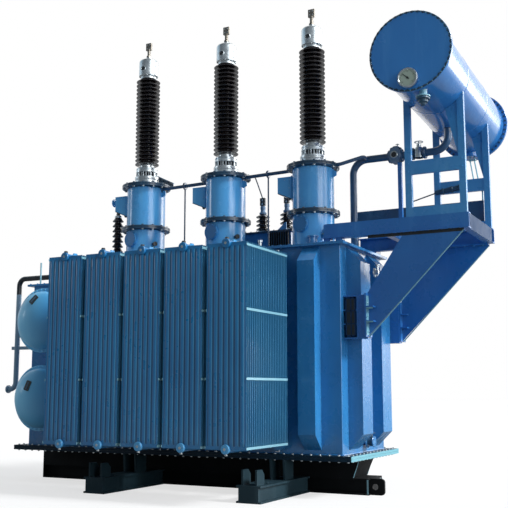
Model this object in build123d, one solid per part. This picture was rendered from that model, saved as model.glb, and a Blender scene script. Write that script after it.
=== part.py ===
"""Power transformer with front and rear radiator banks, three high voltage
bushings on turrets and a conservator carried beyond one end of the tank.

Millimetres. X runs along the tank, Y from the front to the rear, Z up.
The origin lies on the ground under the girder, near the middle of the base.
"""
from build123d import *
from math import cos, radians, sin
import os

os.makedirs("parts", exist_ok=True)

# Fit and material values shared by several pieces
SEAT_GAP = 0.3
CUT_OVERRUN = 20.0
PLATE = 20.0

# Base: one lengthwise girder of two channels, and cross beams at the ground
GIRDER_WIDTH = 500.0
GIRDER_HEIGHT = 200.0
GIRDER_REACH = 135.0
GIRDER_LEFT_REACH = 140.0
CHANNEL_FLANGE = 90.0
CHANNEL_THICKNESS = 18.0
TOW_PLATE_REACH = 180.0
TOW_PLATE_THICKNESS = 40.0
TOW_HOLE_RADIUS = 38.0
TOW_HOLE_INSET = 62.0
TOW_CORNER_RADIUS = 45.0
BEAM_COUNT = 2
BEAM_PITCH_SHARE = 0.573
BEAM_WIDTH = 320.0
BEAM_FLANGE = 22.0
BEAM_WEB = 30.0
BEAM_REACH = 890.0

# Keel box between the girder and the bottom flange, raked at the right end
KEEL_HEIGHT = 245.0
KEEL_REACH = 40.0
KEEL_RAKE = 110.0

# Upright plates on the cross beams: under the tank flange, and jacking lugs
STOOL_THICKNESS = 24.0
STOOL_DEPTH = 260.0
STOOL_SPACING = 180.0
LUG_HEIGHT = 175.0
LUG_DEPTH = 190.0
LUG_INSET = 25.0
LUG_CORNER = 60.0

# Tank, with its bottom flange pair and its cover
TANK_LENGTH = 3840.0
TANK_MIDDLE_X = 520.0
TANK_WIDTH = 1500.0
TANK_HEIGHT = 2580.0
TANK_EDGE_RADIUS = 12.0
FLANGE_REACH = 160.0
FLANGE_SIDE_REACH = 130.0
FLANGE_PLATE = 31.0
FLANGE_JOINT = 2.0
COVER_THICKNESS = 32.0
COVER_REACH = 75.0

# Switch housing at the left end of the tank, lower than the tank
SWITCH_LENGTH = 1040.0
SWITCH_HEAD_GAP = 279.0
SWITCH_LID = 30.0
SWITCH_LID_REACH = 90.0
SWITCH_LID_SIDE_REACH = 50.0

# Box stiffeners folded from plate, drawn in to the wall at both ends
STIFFENER_WIDTH = 230.0
STIFFENER_DEPTH = 190.0
STIFFENER_TAPER = 190.0
STIFFENER_FOOT_GAP = 55.0
STIFFENER_HEAD_GAP = 10.0
END_STIFFENER_WIDTH = 345.0
END_STIFFENER_GAP = 5.5
CORNER_STIFFENER_SHARE = 0.285

# Radiators: a row of panel stacks on headers, front and rear
RADIATOR_COUNT = 5
RADIATOR_WIDTH = 520.0
RADIATOR_PITCH = 580.0
RADIATOR_FOOT_GAP = 126.0
RADIATOR_HEAD_GAP = 148.0
RADIATOR_ROW_OFFSET = 45.0
RADIATOR_REACH = 1460.0
PANEL_COUNT = 24
PANEL_PITCH = 45.0
PANEL_THICKNESS = 13.0
PANEL_SEAM = 5.0
PANEL_SEAM_WIDTH = 22.0
FLUTE_COUNT = 7
FLUTE_DEPTH = 7.0
FLUTE_CREST_SHARE = 0.55
FLUTE_FOOT_SHARE = 0.80
HEADER_RADIUS = 44.0
HEADER_BOSS_RADIUS = 50.0
HEADER_BOSS_LENGTH = 26.0
HEADER_INSET = 8.0
VALVE_FLANGE_RADIUS = 88.0
VALVE_FLANGE_LENGTH = 72.0
VALVE_OFFSET = 60.0

# High voltage turrets and bushings
TURRET_COUNT = 3
TURRET_INSET = 535.0
TURRET_PITCH_SHARE = 0.34635
TURRET_Y = -330.0
TURRET_RADIUS = 278.0
TURRET_FLANGE_RADIUS = 352.0
TURRET_FLANGE_THICKNESS = 50.0
TURRET_LOWER_HEIGHT = 465.0
TURRET_UPPER_HEIGHT = 655.0
HANDHOLE_RADIUS = 112.0
HANDHOLE_REACH = 34.0
HANDHOLE_HEIGHT = 315.0
HANDHOLE_TURN = -12.0
BUSHING_FOOT_RADIUS = 172.0
BUSHING_FOOT_THICKNESS = 30.0
BUSHING_NECK_RADIUS = 118.0
BUSHING_RING_RADIUS = 158.0
BUSHING_FOOT_HEIGHT = 210.0
BUSHING_RING_HEIGHT = 85.0
SHED_COUNT = 22
SHED_PITCH = 60.0
SHED_RADIUS = 176.0
SHED_TIP = 6.0
SHED_RISE = 26.0
PORCELAIN_RADIUS = 112.0
PORCELAIN_TOP_RADIUS = 98.0
HEAD_RADIUS = 142.0
HEAD_HEIGHT = 345.0
HEAD_COLLAR_RADIUS = 118.0
HEAD_COLLAR_HEIGHT = 45.0
HEAD_CONE_HEIGHT = 85.0
STUD_RADIUS = 32.0
STUD_HEIGHT = 120.0
TERMINAL_WIDTH = 90.0
TERMINAL_THICKNESS = 34.0
TERMINAL_HEIGHT = 110.0
OIL_PORT_RADIUS = 40.0
OIL_PORT_REACH = 14.0
OIL_PORT_SHARE = 0.40

# Terminal boxes on the turrets
TERMINAL_BOX_WIDTH = 190.0
TERMINAL_BOX_DEPTH = 240.0
TERMINAL_BOX_HEIGHT = 310.0
TERMINAL_BOX_TAPER = 90.0
TERMINAL_BOX_RISE = 675.0
STUB_BOX = 1
BOX_STUB_RADIUS = 38.0
BOX_STUB_REACH = 95.0
BOX_STUB_FLANGE_RADIUS = 60.0
BOX_STUB_FLANGE = 16.0

# Low voltage bushings on a raised box behind the turrets, and the neutral bushing
LV_COUNT = 3
LV_INSET = 1260.0
LV_PITCH = 385.0
LV_Y = 390.0
NEUTRAL_OFFSET = 495.0
LV_FLANGE_RADIUS = 105.0
LV_FLANGE_HEIGHT = 45.0
LV_CORE_RADIUS = 48.0
LV_SHED_RADIUS = 92.0
LV_SHED_COUNT = 4
LV_SHED_PITCH = 62.0
LV_NECK_RADIUS = 40.0
LV_NECK_HEIGHT = 125.0
LV_CAP_RADIUS = 46.0
LV_CAP_HEIGHT = 120.0
LV_BOX_REACH = 150.0
LV_BOX_FRONT = 190.0
LV_BOX_REAR = 210.0
LV_BOX_HEIGHT = 400.0
LV_BOX_LID = 26.0
LV_BOX_LID_REACH = 28.0
NEUTRAL_FLANGE_HEIGHT = 90.0
NEUTRAL_SHED_RADIUS = 82.0
NEUTRAL_SHED_COUNT = 8
NEUTRAL_SHED_PITCH = 76.0
NEUTRAL_STUD_RADIUS = 20.0
NEUTRAL_STUD_HEIGHT = 120.0

# Gas pipe along the turrets, its props, and the pipe to the conservator
GAS_PIPE_RADIUS = 24.0
GAS_PIPE_GAP = 1.2
GAS_PIPE_LEVEL_RUN = 110.0
GAS_PIPE_BEND = 60.0
GAS_PIPE_JOIN = 210.0
GAS_PIPE_JOIN_RUN = 120.0
GAS_PIPE_RISE = 1044.0
GAS_PIPE_FALL_SHARE = 0.02
PROP_RADIUS = 11.0
OIL_PIPE_RADIUS = 48.0
OIL_PIPE_INSET = 90.0
OIL_PIPE_Y = 0.0
OIL_PIPE_RISE = 1209.0
OIL_PIPE_BEND = 190.0
OIL_PIPE_FOOT_RADIUS = 85.0
OIL_PIPE_FOOT = 24.0
RELAY_REACH = 510.0
RELAY_LENGTH = 150.0
RELAY_WIDTH = 170.0
RELAY_HEIGHT = 190.0
RELAY_FLANGE_RADIUS = 92.0
RELAY_FLANGE = 20.0
RELAY_DOME_RADIUS = 58.0
RELAY_DOME_HEIGHT = 40.0
RELAY_WINDOW_RADIUS = 46.0
RELAY_WINDOW_REACH = 12.0
RELAY_POST_SIZE = 50.0
RELAY_POST_OFFSET = 50.0

# Conservator: a drum with bolted flat covers, along Y and a little lower behind
CONSERVATOR_RADIUS = 430.0
CONSERVATOR_END_REACH = 1210.0
CONSERVATOR_RISE = 1990.0
CONSERVATOR_FRONT_REACH = 810.0
CONSERVATOR_REAR_REACH = 630.0
CONSERVATOR_TILT = 2.5
COVER_RIM_RADIUS = 487.0
COVER_RIM = 22.0
COVER_PLATE = 18.0
SUMP_RADIUS = 95.0
SUMP_HEIGHT = 60.0
SUMP_INSET = 165.0
GAUGE_RADIUS = 118.0
GAUGE_DEPTH = 60.0
GAUGE_NECK_RADIUS = 60.0
GAUGE_NECK = 14.0
GAUGE_OFFSET_X = -13.0
GAUGE_OFFSET_Z = -344.0
DRAIN_RADIUS = 32.0
DRAIN_REACH = 75.0
DRAIN_INSET = 210.0
DRAIN_OFFSET_X = 85.0
DRAIN_FLANGE_RADIUS = 66.0

# Platform beams on the cover, the frame on them, and the brackets below
PLATFORM_SEAT = 252.0
PLATFORM_REACH = 1600.0
PLATFORM_INSET = 82.0
PLATFORM_GAP = 60.0
PLATFORM_FOOT = 90.0
PLATFORM_BEAM_HEIGHT = 190.0
PLATFORM_BEAM_WIDTH = 90.0
PLATFORM_WEB = 16.0
CROSS_MEMBER_WIDTH = 90.0
POST_SIZE = 80.0
POST_DEPTH = 60.0
POST_MARGIN = 20.0
FRAME_SPAN = 665.0
POST_DROP = 240.0
RAIL_HEIGHT = 165.0
RAIL_DEPTH = 50.0
LOWER_RAIL_HEIGHT = 110.0
UPPER_RAIL_RISE = 774.0
SADDLE_THICKNESS = 24.0
SADDLE_REACH = 160.0
SADDLE_TIP_DROP = 170.0
BRACKET_PLATE = 20.0
BRACKET_FLANGE = 110.0
BRACKET_FLANGE_REACH = 100.0
BRACKET_END_INSET = 65.0
BRACKET_DROP = 1190.0
BRACKET_SIDE = 530.0
BRACKET_TOP_LENGTH = 800.0
BRACKET_RIB_COUNT = 2
PAD_LENGTH = 315.0
PAD_MARGIN = 20.0
PAD_HEIGHT = 540.0
PAD_DEPTH = 120.0
PAD_PLATE = 18.0
PAD_COVER = 140.0
PAD_RIB_COUNT = 3

# Cable duct behind the rear posts, on two legs
DUCT_START = 340.0
DUCT_END = 120.0
DUCT_RISE = 305.0
DUCT_HEIGHT = 285.0
DUCT_DEPTH = 110.0
DUCT_LEG = 60.0

# Two round domed covers on necks, on the front of the switch housing
DRUM_LOW_SHARE = 0.26
DRUM_PITCH_SHARE = 0.4205
DRUM_RADIUS = 412.0
DRUM_RIM_RADIUS = 454.0
DRUM_RIM = 40.0
DRUM_REACH = 370.0
DRUM_BULGE = 215.0

# Relief pipe over the switch housing and down beside it
RELIEF_RADIUS = 40.0
RELIEF_REACH = 860.0
RELIEF_Y = -120.0
RELIEF_HEAD_GAP = 52.0
RELIEF_LENGTH = 1735.0
RELIEF_BEND = 110.0
RELIEF_FOOT_REACH = 160.0
RELIEF_FLANGE_RADIUS = 62.0
RELIEF_FLANGE = 26.0
RELIEF_BRACKET_DROP = 1095.0
RELIEF_BRACKET_SIZE = 50.0
RELIEF_BRACKET_OVERHANG = 90.0
RELIEF_STRUT_RISE = 210.0
RELIEF_STRUT_DROP = 165.0
RELIEF_STRUT_RADIUS = 16.0

# Levels and places that follow from the sizes above
TANK_END = TANK_MIDDLE_X + TANK_LENGTH / 2
TANK_LEFT = TANK_MIDDLE_X - TANK_LENGTH / 2
TANK_SIDE = TANK_WIDTH / 2
SWITCH_LEFT = TANK_LEFT - SWITCH_LENGTH
KEEL_Z = GIRDER_HEIGHT
FLANGE_Z = KEEL_Z + KEEL_HEIGHT
TANK_Z = FLANGE_Z + FLANGE_PLATE + FLANGE_JOINT + FLANGE_PLATE
COVER_Z = TANK_Z + TANK_HEIGHT
DECK_Z = COVER_Z + COVER_THICKNESS
SWITCH_TOP = COVER_Z - SWITCH_HEAD_GAP
GIRDER_RIGHT = TANK_END + GIRDER_REACH
GIRDER_LEFT = SWITCH_LEFT - GIRDER_LEFT_REACH
BEAM_PITCH = TANK_LENGTH * BEAM_PITCH_SHARE
BEAM_HALF_REACH = TANK_SIDE + BEAM_REACH
KEEL_RIGHT = TANK_END + KEEL_REACH
RADIATOR_HEIGHT = TANK_HEIGHT - RADIATOR_FOOT_GAP - RADIATOR_HEAD_GAP
RADIATOR_BOTTOM = TANK_Z + RADIATOR_FOOT_GAP
RADIATOR_FRONT = TANK_SIDE + RADIATOR_REACH
ROW_MIDDLE = TANK_MIDDLE_X - RADIATOR_ROW_OFFSET
ROW_HALF = (RADIATOR_WIDTH + RADIATOR_PITCH * (RADIATOR_COUNT - 1)) / 2
ROW_LEFT = ROW_MIDDLE - ROW_HALF
ROW_RIGHT = ROW_MIDDLE + ROW_HALF
TURRET_PITCH = TANK_LENGTH * TURRET_PITCH_SHARE
TURRET_FIRST_X = TANK_END - TURRET_INSET - (TURRET_COUNT - 1) * TURRET_PITCH
TURRET_TOP = DECK_Z + TURRET_LOWER_HEIGHT + TURRET_FLANGE_THICKNESS + TURRET_UPPER_HEIGHT
TURRET_TOP += TURRET_FLANGE_THICKNESS
TERMINAL_BOX_Z = DECK_Z + TERMINAL_BOX_RISE
PORCELAIN_Z = TURRET_TOP + BUSHING_FOOT_HEIGHT
HEAD_Z = PORCELAIN_Z + SHED_COUNT * SHED_PITCH
LV_FIRST_X = TANK_END - LV_INSET - (LV_COUNT - 1) * LV_PITCH
LV_BOX_Z = DECK_Z + LV_BOX_HEIGHT
NEUTRAL_X = TURRET_FIRST_X - NEUTRAL_OFFSET
GAS_PIPE_Z = DECK_Z + GAS_PIPE_RISE
OIL_PIPE_X = TANK_END - OIL_PIPE_INSET
OIL_PIPE_Z = DECK_Z + OIL_PIPE_RISE
RELAY_X = TANK_END + RELAY_REACH
CONSERVATOR_X = TANK_END + CONSERVATOR_END_REACH
CONSERVATOR_Z = DECK_Z + CONSERVATOR_RISE
CONSERVATOR_FRONT = -TANK_SIDE - CONSERVATOR_FRONT_REACH
CONSERVATOR_LENGTH = CONSERVATOR_FRONT_REACH + TANK_WIDTH + CONSERVATOR_REAR_REACH
PLATFORM_START = TANK_END - PLATFORM_SEAT
PLATFORM_END = TANK_END + PLATFORM_REACH
PLATFORM_HALF_WIDTH = TANK_SIDE - PLATFORM_INSET
END_STIFFENER_OFFSET = PLATFORM_HALF_WIDTH - PAD_DEPTH - END_STIFFENER_GAP
END_STIFFENER_OFFSET -= END_STIFFENER_WIDTH / 2
PLATFORM_Z = DECK_Z + PLATFORM_GAP
PLATFORM_TOP = PLATFORM_Z + PLATFORM_BEAM_HEIGHT
POST_RIGHT = PLATFORM_END - POST_MARGIN - POST_SIZE / 2
POST_LEFT = POST_RIGHT - FRAME_SPAN
POST_TOP = CONSERVATOR_Z - POST_DROP
UPPER_RAIL_Z = DECK_Z + UPPER_RAIL_RISE
BRACKET_TIP_Z = DECK_Z - BRACKET_DROP
BRACKET_TOP_START = PLATFORM_END - BRACKET_TOP_LENGTH
PAD_BOTTOM_Z = BRACKET_TIP_Z - PAD_MARGIN
DRUM_X = (TANK_LEFT + SWITCH_LEFT) / 2
DRUM_LOW_Z = TANK_Z + TANK_HEIGHT * DRUM_LOW_SHARE
DRUM_PITCH = TANK_HEIGHT * DRUM_PITCH_SHARE
CORNER_STIFFENER_X = ROW_RIGHT + (TANK_END - ROW_RIGHT) * CORNER_STIFFENER_SHARE
OUTER_STIFFENER_X = (ROW_LEFT + TANK_LEFT) / 2
RELIEF_X = SWITCH_LEFT - RELIEF_REACH
RELIEF_TOP_Z = COVER_Z - RELIEF_HEAD_GAP
RELIEF_BOTTOM_Z = RELIEF_TOP_Z - RELIEF_LENGTH
RELIEF_BRACKET_Z = RELIEF_TOP_Z - RELIEF_BRACKET_DROP


def block(x0, x1, y0, y1, z0, z1):
    """A box between two corners."""
    size = (x1 - x0, y1 - y0, z1 - z0)
    middle = ((x0 + x1) / 2, (y0 + y1) / 2, (z0 + z1) / 2)
    return Pos(*middle) * Box(*size)


def rod(start, end, radius):
    """A round bar between two points."""
    axis = Vector(*end) - Vector(*start)
    plane = Plane(origin=start, z_dir=axis)
    return extrude(plane * Circle(radius), amount=axis.length)


def pipe(points, bend, radius):
    """A round bar along straight runs joined by arcs."""
    path = FilletPolyline(*points, radius=bend)
    plane = Plane(origin=points[0], z_dir=Vector(*points[1]) - Vector(*points[0]))
    return sweep(plane * Circle(radius), path=path)


def side_plate(points, y0, y1):
    """A plate that stands in the XZ plane, from an outline of (x, z)."""
    outline = Polyline(*[(x, 0, z) for x, z in points], close=True)
    face = Pos(0, y0, 0) * make_face(outline)
    return extrude(face, amount=y1 - y0, dir=(0, 1, 0))


def end_plate(points, x0, x1):
    """A solid that runs along X, from an outline of (y, z)."""
    outline = Polyline(*[(0, y, z) for y, z in points], close=True)
    face = Pos(x0, 0, 0) * make_face(outline)
    return extrude(face, amount=x1 - x0, dir=(1, 0, 0))


def turned(points):
    """A solid of revolution about Z, from an outline of (radius, z)."""
    outline = Polyline(*[(r, 0, z) for r, z in points], close=True)
    return revolve(make_face(outline), axis=Axis.Z)


def save(name, *solids):
    """Write one sub-part, of one solid or of several that stay apart."""
    shape = solids[0] if len(solids) == 1 else Compound(children=list(solids))
    export_step(shape, f"parts/{name}.step")


def girder():
    """A box girder with channel flanges along both sides."""
    half = GIRDER_WIDTH / 2
    body = block(GIRDER_LEFT, GIRDER_RIGHT, -half, half, 0, GIRDER_HEIGHT)
    for side in (-1, 1):
        web = side * (half - CHANNEL_FLANGE + CHANNEL_THICKNESS)
        outer = side * (half + CUT_OVERRUN)
        y0, y1 = sorted((web, outer))
        body -= block(
            GIRDER_LEFT + CHANNEL_THICKNESS, GIRDER_RIGHT + CUT_OVERRUN,
            y0, y1, CHANNEL_THICKNESS, GIRDER_HEIGHT - CHANNEL_THICKNESS)
    return body


def tow_plate():
    """A plate with an eye at the right end of the girder, in line with its front web."""
    tow_y = -GIRDER_WIDTH / 2 + CHANNEL_FLANGE - CHANNEL_THICKNESS
    end = GIRDER_RIGHT + TOW_PLATE_REACH
    plate = block(GIRDER_RIGHT, end, tow_y, tow_y + TOW_PLATE_THICKNESS, 0, GIRDER_HEIGHT)
    tip = plate.edges().filter_by(Axis.Y).sort_by(Axis.X)
    plate = fillet(tip[-2:], TOW_CORNER_RADIUS)
    hole_x = GIRDER_RIGHT + TOW_HOLE_INSET
    front = (hole_x, tow_y - CUT_OVERRUN, GIRDER_HEIGHT / 2)
    back = (hole_x, tow_y + TOW_PLATE_THICKNESS + CUT_OVERRUN, GIRDER_HEIGHT / 2)
    return plate - rod(front, back, TOW_HOLE_RADIUS)


def beam_places():
    first = TANK_MIDDLE_X - BEAM_PITCH * (BEAM_COUNT - 1) / 2
    return [first + index * BEAM_PITCH for index in range(BEAM_COUNT)]


def cross_beam(x, side):
    """One half of a cross beam: a double web between two flanges."""
    y0, y1 = sorted((side * GIRDER_WIDTH / 2, side * BEAM_HALF_REACH))
    half = BEAM_WIDTH / 2
    body = block(x - half, x + half, y0, y1, 0, GIRDER_HEIGHT)
    inner = half - BEAM_WEB
    for face in (-1, 1):
        x0, x1 = sorted((x + face * inner, x + face * (half + CUT_OVERRUN)))
        body -= block(x0, x1, y0 - CUT_OVERRUN, y1 + CUT_OVERRUN,
                      BEAM_FLANGE, GIRDER_HEIGHT - BEAM_FLANGE)
    return body


def stools(x, side):
    """The upright plates on a cross beam: two under the flange, two lugs at its end."""
    outer = side * (TANK_SIDE + FLANGE_SIDE_REACH)
    inner = outer - side * STOOL_DEPTH
    stool = [(outer, FLANGE_Z), (inner, FLANGE_Z), (inner, GIRDER_HEIGHT),
             (outer - side * PLATE, GIRDER_HEIGHT)]
    tip = side * (BEAM_HALF_REACH - LUG_INSET)
    heel = tip - side * LUG_DEPTH
    high = GIRDER_HEIGHT + LUG_HEIGHT
    lug = [(tip, GIRDER_HEIGHT), (tip, high), (heel + side * LUG_CORNER, high),
           (heel, high - LUG_CORNER), (heel, GIRDER_HEIGHT)]
    plates = []
    for face in (-1, 1):
        middle = x + face * STOOL_SPACING / 2
        for outline in (stool, lug):
            plates.append(end_plate(outline, middle - STOOL_THICKNESS / 2,
                                    middle + STOOL_THICKNESS / 2))
    return plates


def keel():
    """The box under the tank, upright at the left end and raked at the right."""
    outline = [(GIRDER_LEFT, KEEL_Z), (KEEL_RIGHT - KEEL_RAKE, KEEL_Z), (KEEL_RIGHT, FLANGE_Z),
               (GIRDER_LEFT, FLANGE_Z)]
    return side_plate(outline, -GIRDER_WIDTH / 2, GIRDER_WIDTH / 2)


def bottom_flange():
    """The bolted pair of flange plates, with the joint line between them."""
    left = SWITCH_LEFT - FLANGE_REACH
    right = TANK_END + FLANGE_REACH
    y = TANK_SIDE + FLANGE_SIDE_REACH
    lower = FLANGE_Z + FLANGE_PLATE
    upper = lower + FLANGE_JOINT
    body = block(left, right, -y, y, FLANGE_Z, lower)
    gasket_y = y - FLANGE_PLATE
    body += block(left + FLANGE_PLATE, right - FLANGE_PLATE, -gasket_y, gasket_y, lower, upper)
    return body + block(left, right, -y, y, upper, TANK_Z)


def tank_body():
    body = block(TANK_LEFT, TANK_END, -TANK_SIDE, TANK_SIDE, TANK_Z, COVER_Z)
    return fillet(body.edges().filter_by(Axis.Z), TANK_EDGE_RADIUS)


def switch_housing():
    """The lower box at the left end of the tank, with its lid."""
    near = TANK_LEFT - SEAT_GAP
    body = block(SWITCH_LEFT, near, -TANK_SIDE, TANK_SIDE, TANK_Z, SWITCH_TOP)
    side = TANK_SIDE + SWITCH_LID_SIDE_REACH
    return body + block(SWITCH_LEFT - SWITCH_LID_REACH, near, -side, side, SWITCH_TOP,
                        SWITCH_TOP + SWITCH_LID)


def stiffener_outline(wall, outward):
    """Side view of a box stiffener that stands on a wall."""
    low = TANK_Z + STIFFENER_FOOT_GAP
    high = COVER_Z - STIFFENER_HEAD_GAP
    crest = wall + outward * STIFFENER_DEPTH
    return [(wall, low), (crest, low + STIFFENER_TAPER),
            (crest, high - STIFFENER_TAPER), (wall, high)]


def stiffener_places():
    """Between the radiator headers, beside them, and near the right corner."""
    between = [x + RADIATOR_PITCH / 2 for x in radiator_places()[:-1]]
    return [CORNER_STIFFENER_X] + between + [OUTER_STIFFENER_X]


def long_stiffeners(side):
    half = STIFFENER_WIDTH / 2
    outline = stiffener_outline(side * TANK_SIDE, side)
    return [end_plate(outline, x - half, x + half) for x in stiffener_places()]


def end_stiffeners():
    half = END_STIFFENER_WIDTH / 2
    outline = stiffener_outline(TANK_END, 1)
    return [side_plate(outline, y - half, y + half)
            for y in (-END_STIFFENER_OFFSET, END_STIFFENER_OFFSET)]


def tank_cover():
    """The cover plate, with the raised box that carries the low voltage bushings."""
    y = TANK_SIDE + COVER_REACH
    body = block(TANK_LEFT - COVER_REACH, TANK_END + COVER_REACH, -y, y, COVER_Z, DECK_Z)
    left = LV_FIRST_X - LV_BOX_REACH
    right = LV_FIRST_X + (LV_COUNT - 1) * LV_PITCH + LV_BOX_REACH
    front = LV_Y - LV_BOX_FRONT
    rear = LV_Y + LV_BOX_REAR
    body += block(left, right, front, rear, DECK_Z, LV_BOX_Z)
    rim = LV_BOX_LID_REACH
    return body + block(left - rim, right + rim, front - rim, rear + rim,
                        LV_BOX_Z - LV_BOX_LID, LV_BOX_Z)


def panel_outline(y, outward):
    """Section of one panel: seams at both edges and pressed flutes between."""
    half = RADIATOR_WIDTH / 2
    field = half - PANEL_SEAM_WIDTH
    thick = PANEL_THICKNESS / 2
    seam = PANEL_SEAM / 2
    points = [(-half, y + seam), (-half, y - seam), (-field, y - thick)]
    if outward:
        pitch = 2 * field / FLUTE_COUNT
        foot = pitch * FLUTE_FOOT_SHARE / 2
        crest = pitch * FLUTE_CREST_SHARE / 2
        for index in range(FLUTE_COUNT):
            middle = -field + pitch * (index + 1 / 2)
            points += [(middle - foot, y - thick),
                       (middle - crest, y - thick - FLUTE_DEPTH),
                       (middle + crest, y - thick - FLUTE_DEPTH),
                       (middle + foot, y - thick)]
    points += [(field, y - thick), (half, y - seam), (half, y + seam),
               (field, y + thick), (-field, y + thick)]
    return points


def radiator_stack():
    """Panels on two headers, at x = 0, with the front panel's face near y = 0."""
    low = RADIATOR_BOTTOM
    solids = []
    first = FLUTE_DEPTH + PANEL_THICKNESS / 2
    for index in range(PANEL_COUNT):
        outline = panel_outline(first + index * PANEL_PITCH, index == 0)
        section = make_face(Polyline(*[(x, y, low) for x, y in outline], close=True))
        solids.append(extrude(section, amount=RADIATOR_HEIGHT, dir=(0, 0, 1)))
    wall = RADIATOR_FRONT - TANK_SIDE
    valve = wall - VALVE_OFFSET
    for z in (low + HEADER_INSET, low + RADIATOR_HEIGHT - HEADER_INSET):
        solids.append(rod((0, 0, z), (0, wall, z), HEADER_RADIUS))
        solids.append(rod((0, -HEADER_BOSS_LENGTH, z), (0, first, z), HEADER_BOSS_RADIUS))
        solids.append(rod((0, valve - VALVE_FLANGE_LENGTH, z), (0, valve, z),
                          VALVE_FLANGE_RADIUS))
    return solids[0].fuse(*solids[1:])


def radiator_places():
    first = ROW_LEFT + RADIATOR_WIDTH / 2
    return [first + index * RADIATOR_PITCH for index in range(RADIATOR_COUNT)]


def turret_places():
    return [TURRET_FIRST_X + index * TURRET_PITCH for index in range(TURRET_COUNT)]


def turret():
    """Two flanged cylinders, one on the other, with a blanked hand hole."""
    rim = TURRET_FLANGE_RADIUS
    middle = DECK_Z + TURRET_LOWER_HEIGHT
    above = middle + TURRET_FLANGE_THICKNESS
    top = TURRET_TOP - TURRET_FLANGE_THICKNESS
    body = turned([
        (0, DECK_Z), (TURRET_RADIUS, DECK_Z), (TURRET_RADIUS, middle), (rim, middle),
        (rim, above), (TURRET_RADIUS, above), (TURRET_RADIUS, top), (rim, top),
        (rim, TURRET_TOP), (0, TURRET_TOP)])
    turn = radians(HANDHOLE_TURN)
    reach = TURRET_RADIUS + HANDHOLE_REACH
    z = DECK_Z + HANDHOLE_HEIGHT
    return body + rod((0, 0, z), (reach * sin(turn), -reach * cos(turn), z), HANDHOLE_RADIUS)


def bushing_foot():
    """The metal foot between the turret and the porcelain."""
    ring = PORCELAIN_Z - BUSHING_RING_HEIGHT
    above = TURRET_TOP + BUSHING_FOOT_THICKNESS
    return turned([
        (0, TURRET_TOP), (BUSHING_FOOT_RADIUS, TURRET_TOP), (BUSHING_FOOT_RADIUS, above),
        (BUSHING_NECK_RADIUS, above), (BUSHING_NECK_RADIUS, ring),
        (BUSHING_RING_RADIUS, ring), (BUSHING_RING_RADIUS, PORCELAIN_Z), (0, PORCELAIN_Z)])


def shed_stack(foot_z, pitch, count, core, top_core, shed, rise):
    """Porcelain outline: a slightly tapered core with drooping sheds."""
    points = [(0, foot_z)]
    for index in range(count):
        share = index / count
        neck = core + (top_core - core) * share
        z = foot_z + index * pitch
        lip = z + (pitch - rise) / 2
        points += [(neck, z), (shed, lip), (shed, lip + SHED_TIP),
                   (neck, lip + SHED_TIP + rise)]
    points.append((top_core, foot_z + count * pitch))
    points.append((0, foot_z + count * pitch))
    return turned(points)


def bushing_head():
    """The metal head with its oil port, stud and flat terminal."""
    collar = HEAD_Z + HEAD_COLLAR_HEIGHT
    shoulder = HEAD_Z + HEAD_HEIGHT - HEAD_CONE_HEIGHT
    top = HEAD_Z + HEAD_HEIGHT
    body = turned([
        (0, HEAD_Z), (HEAD_COLLAR_RADIUS, HEAD_Z), (HEAD_COLLAR_RADIUS, collar),
        (HEAD_RADIUS, collar), (HEAD_RADIUS, shoulder), (STUD_RADIUS, top),
        (STUD_RADIUS, top + STUD_HEIGHT), (0, top + STUD_HEIGHT)])
    flat = top + STUD_HEIGHT
    body += block(-TERMINAL_WIDTH / 2, TERMINAL_WIDTH / 2, -TERMINAL_THICKNESS / 2,
                  TERMINAL_THICKNESS / 2, flat - STUD_RADIUS, flat + TERMINAL_HEIGHT)
    z = HEAD_Z + HEAD_HEIGHT * OIL_PORT_SHARE
    reach = HEAD_RADIUS + OIL_PORT_REACH
    return body + rod((0, 0, z), (0, -reach, z), OIL_PORT_RADIUS)


def terminal_box(with_stub):
    """A box on the left of a turret, tapered below; one has a cable stub."""
    near = -TURRET_RADIUS - SEAT_GAP
    far = near - TERMINAL_BOX_WIDTH
    low = TERMINAL_BOX_Z
    high = low + TERMINAL_BOX_HEIGHT
    outline = [(near, low), (near, high), (far, high), (far, low + TERMINAL_BOX_TAPER)]
    half = TERMINAL_BOX_DEPTH / 2
    body = side_plate(outline, -half, half)
    if not with_stub:
        return body
    stub_z = high - BOX_STUB_FLANGE_RADIUS
    end = far - BOX_STUB_REACH
    body += rod((far, 0, stub_z), (end, 0, stub_z), BOX_STUB_RADIUS)
    return body + rod((end, 0, stub_z), (end - BOX_STUB_FLANGE, 0, stub_z),
                      BOX_STUB_FLANGE_RADIUS)


def lv_bushing():
    """A short bushing on the raised box: flanged foot, sheds, neck and cap."""
    foot = LV_BOX_Z + LV_FLANGE_HEIGHT
    body = turned([(0, LV_BOX_Z), (LV_FLANGE_RADIUS, LV_BOX_Z), (LV_FLANGE_RADIUS, foot),
                   (0, foot)])
    body += shed_stack(foot, LV_SHED_PITCH, LV_SHED_COUNT, LV_CORE_RADIUS,
                       LV_CORE_RADIUS, LV_SHED_RADIUS, SHED_RISE)
    neck = foot + LV_SHED_COUNT * LV_SHED_PITCH
    cap = neck + LV_NECK_HEIGHT
    body += rod((0, 0, neck), (0, 0, cap), LV_NECK_RADIUS)
    return body + rod((0, 0, cap), (0, 0, cap + LV_CAP_HEIGHT), LV_CAP_RADIUS)


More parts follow.
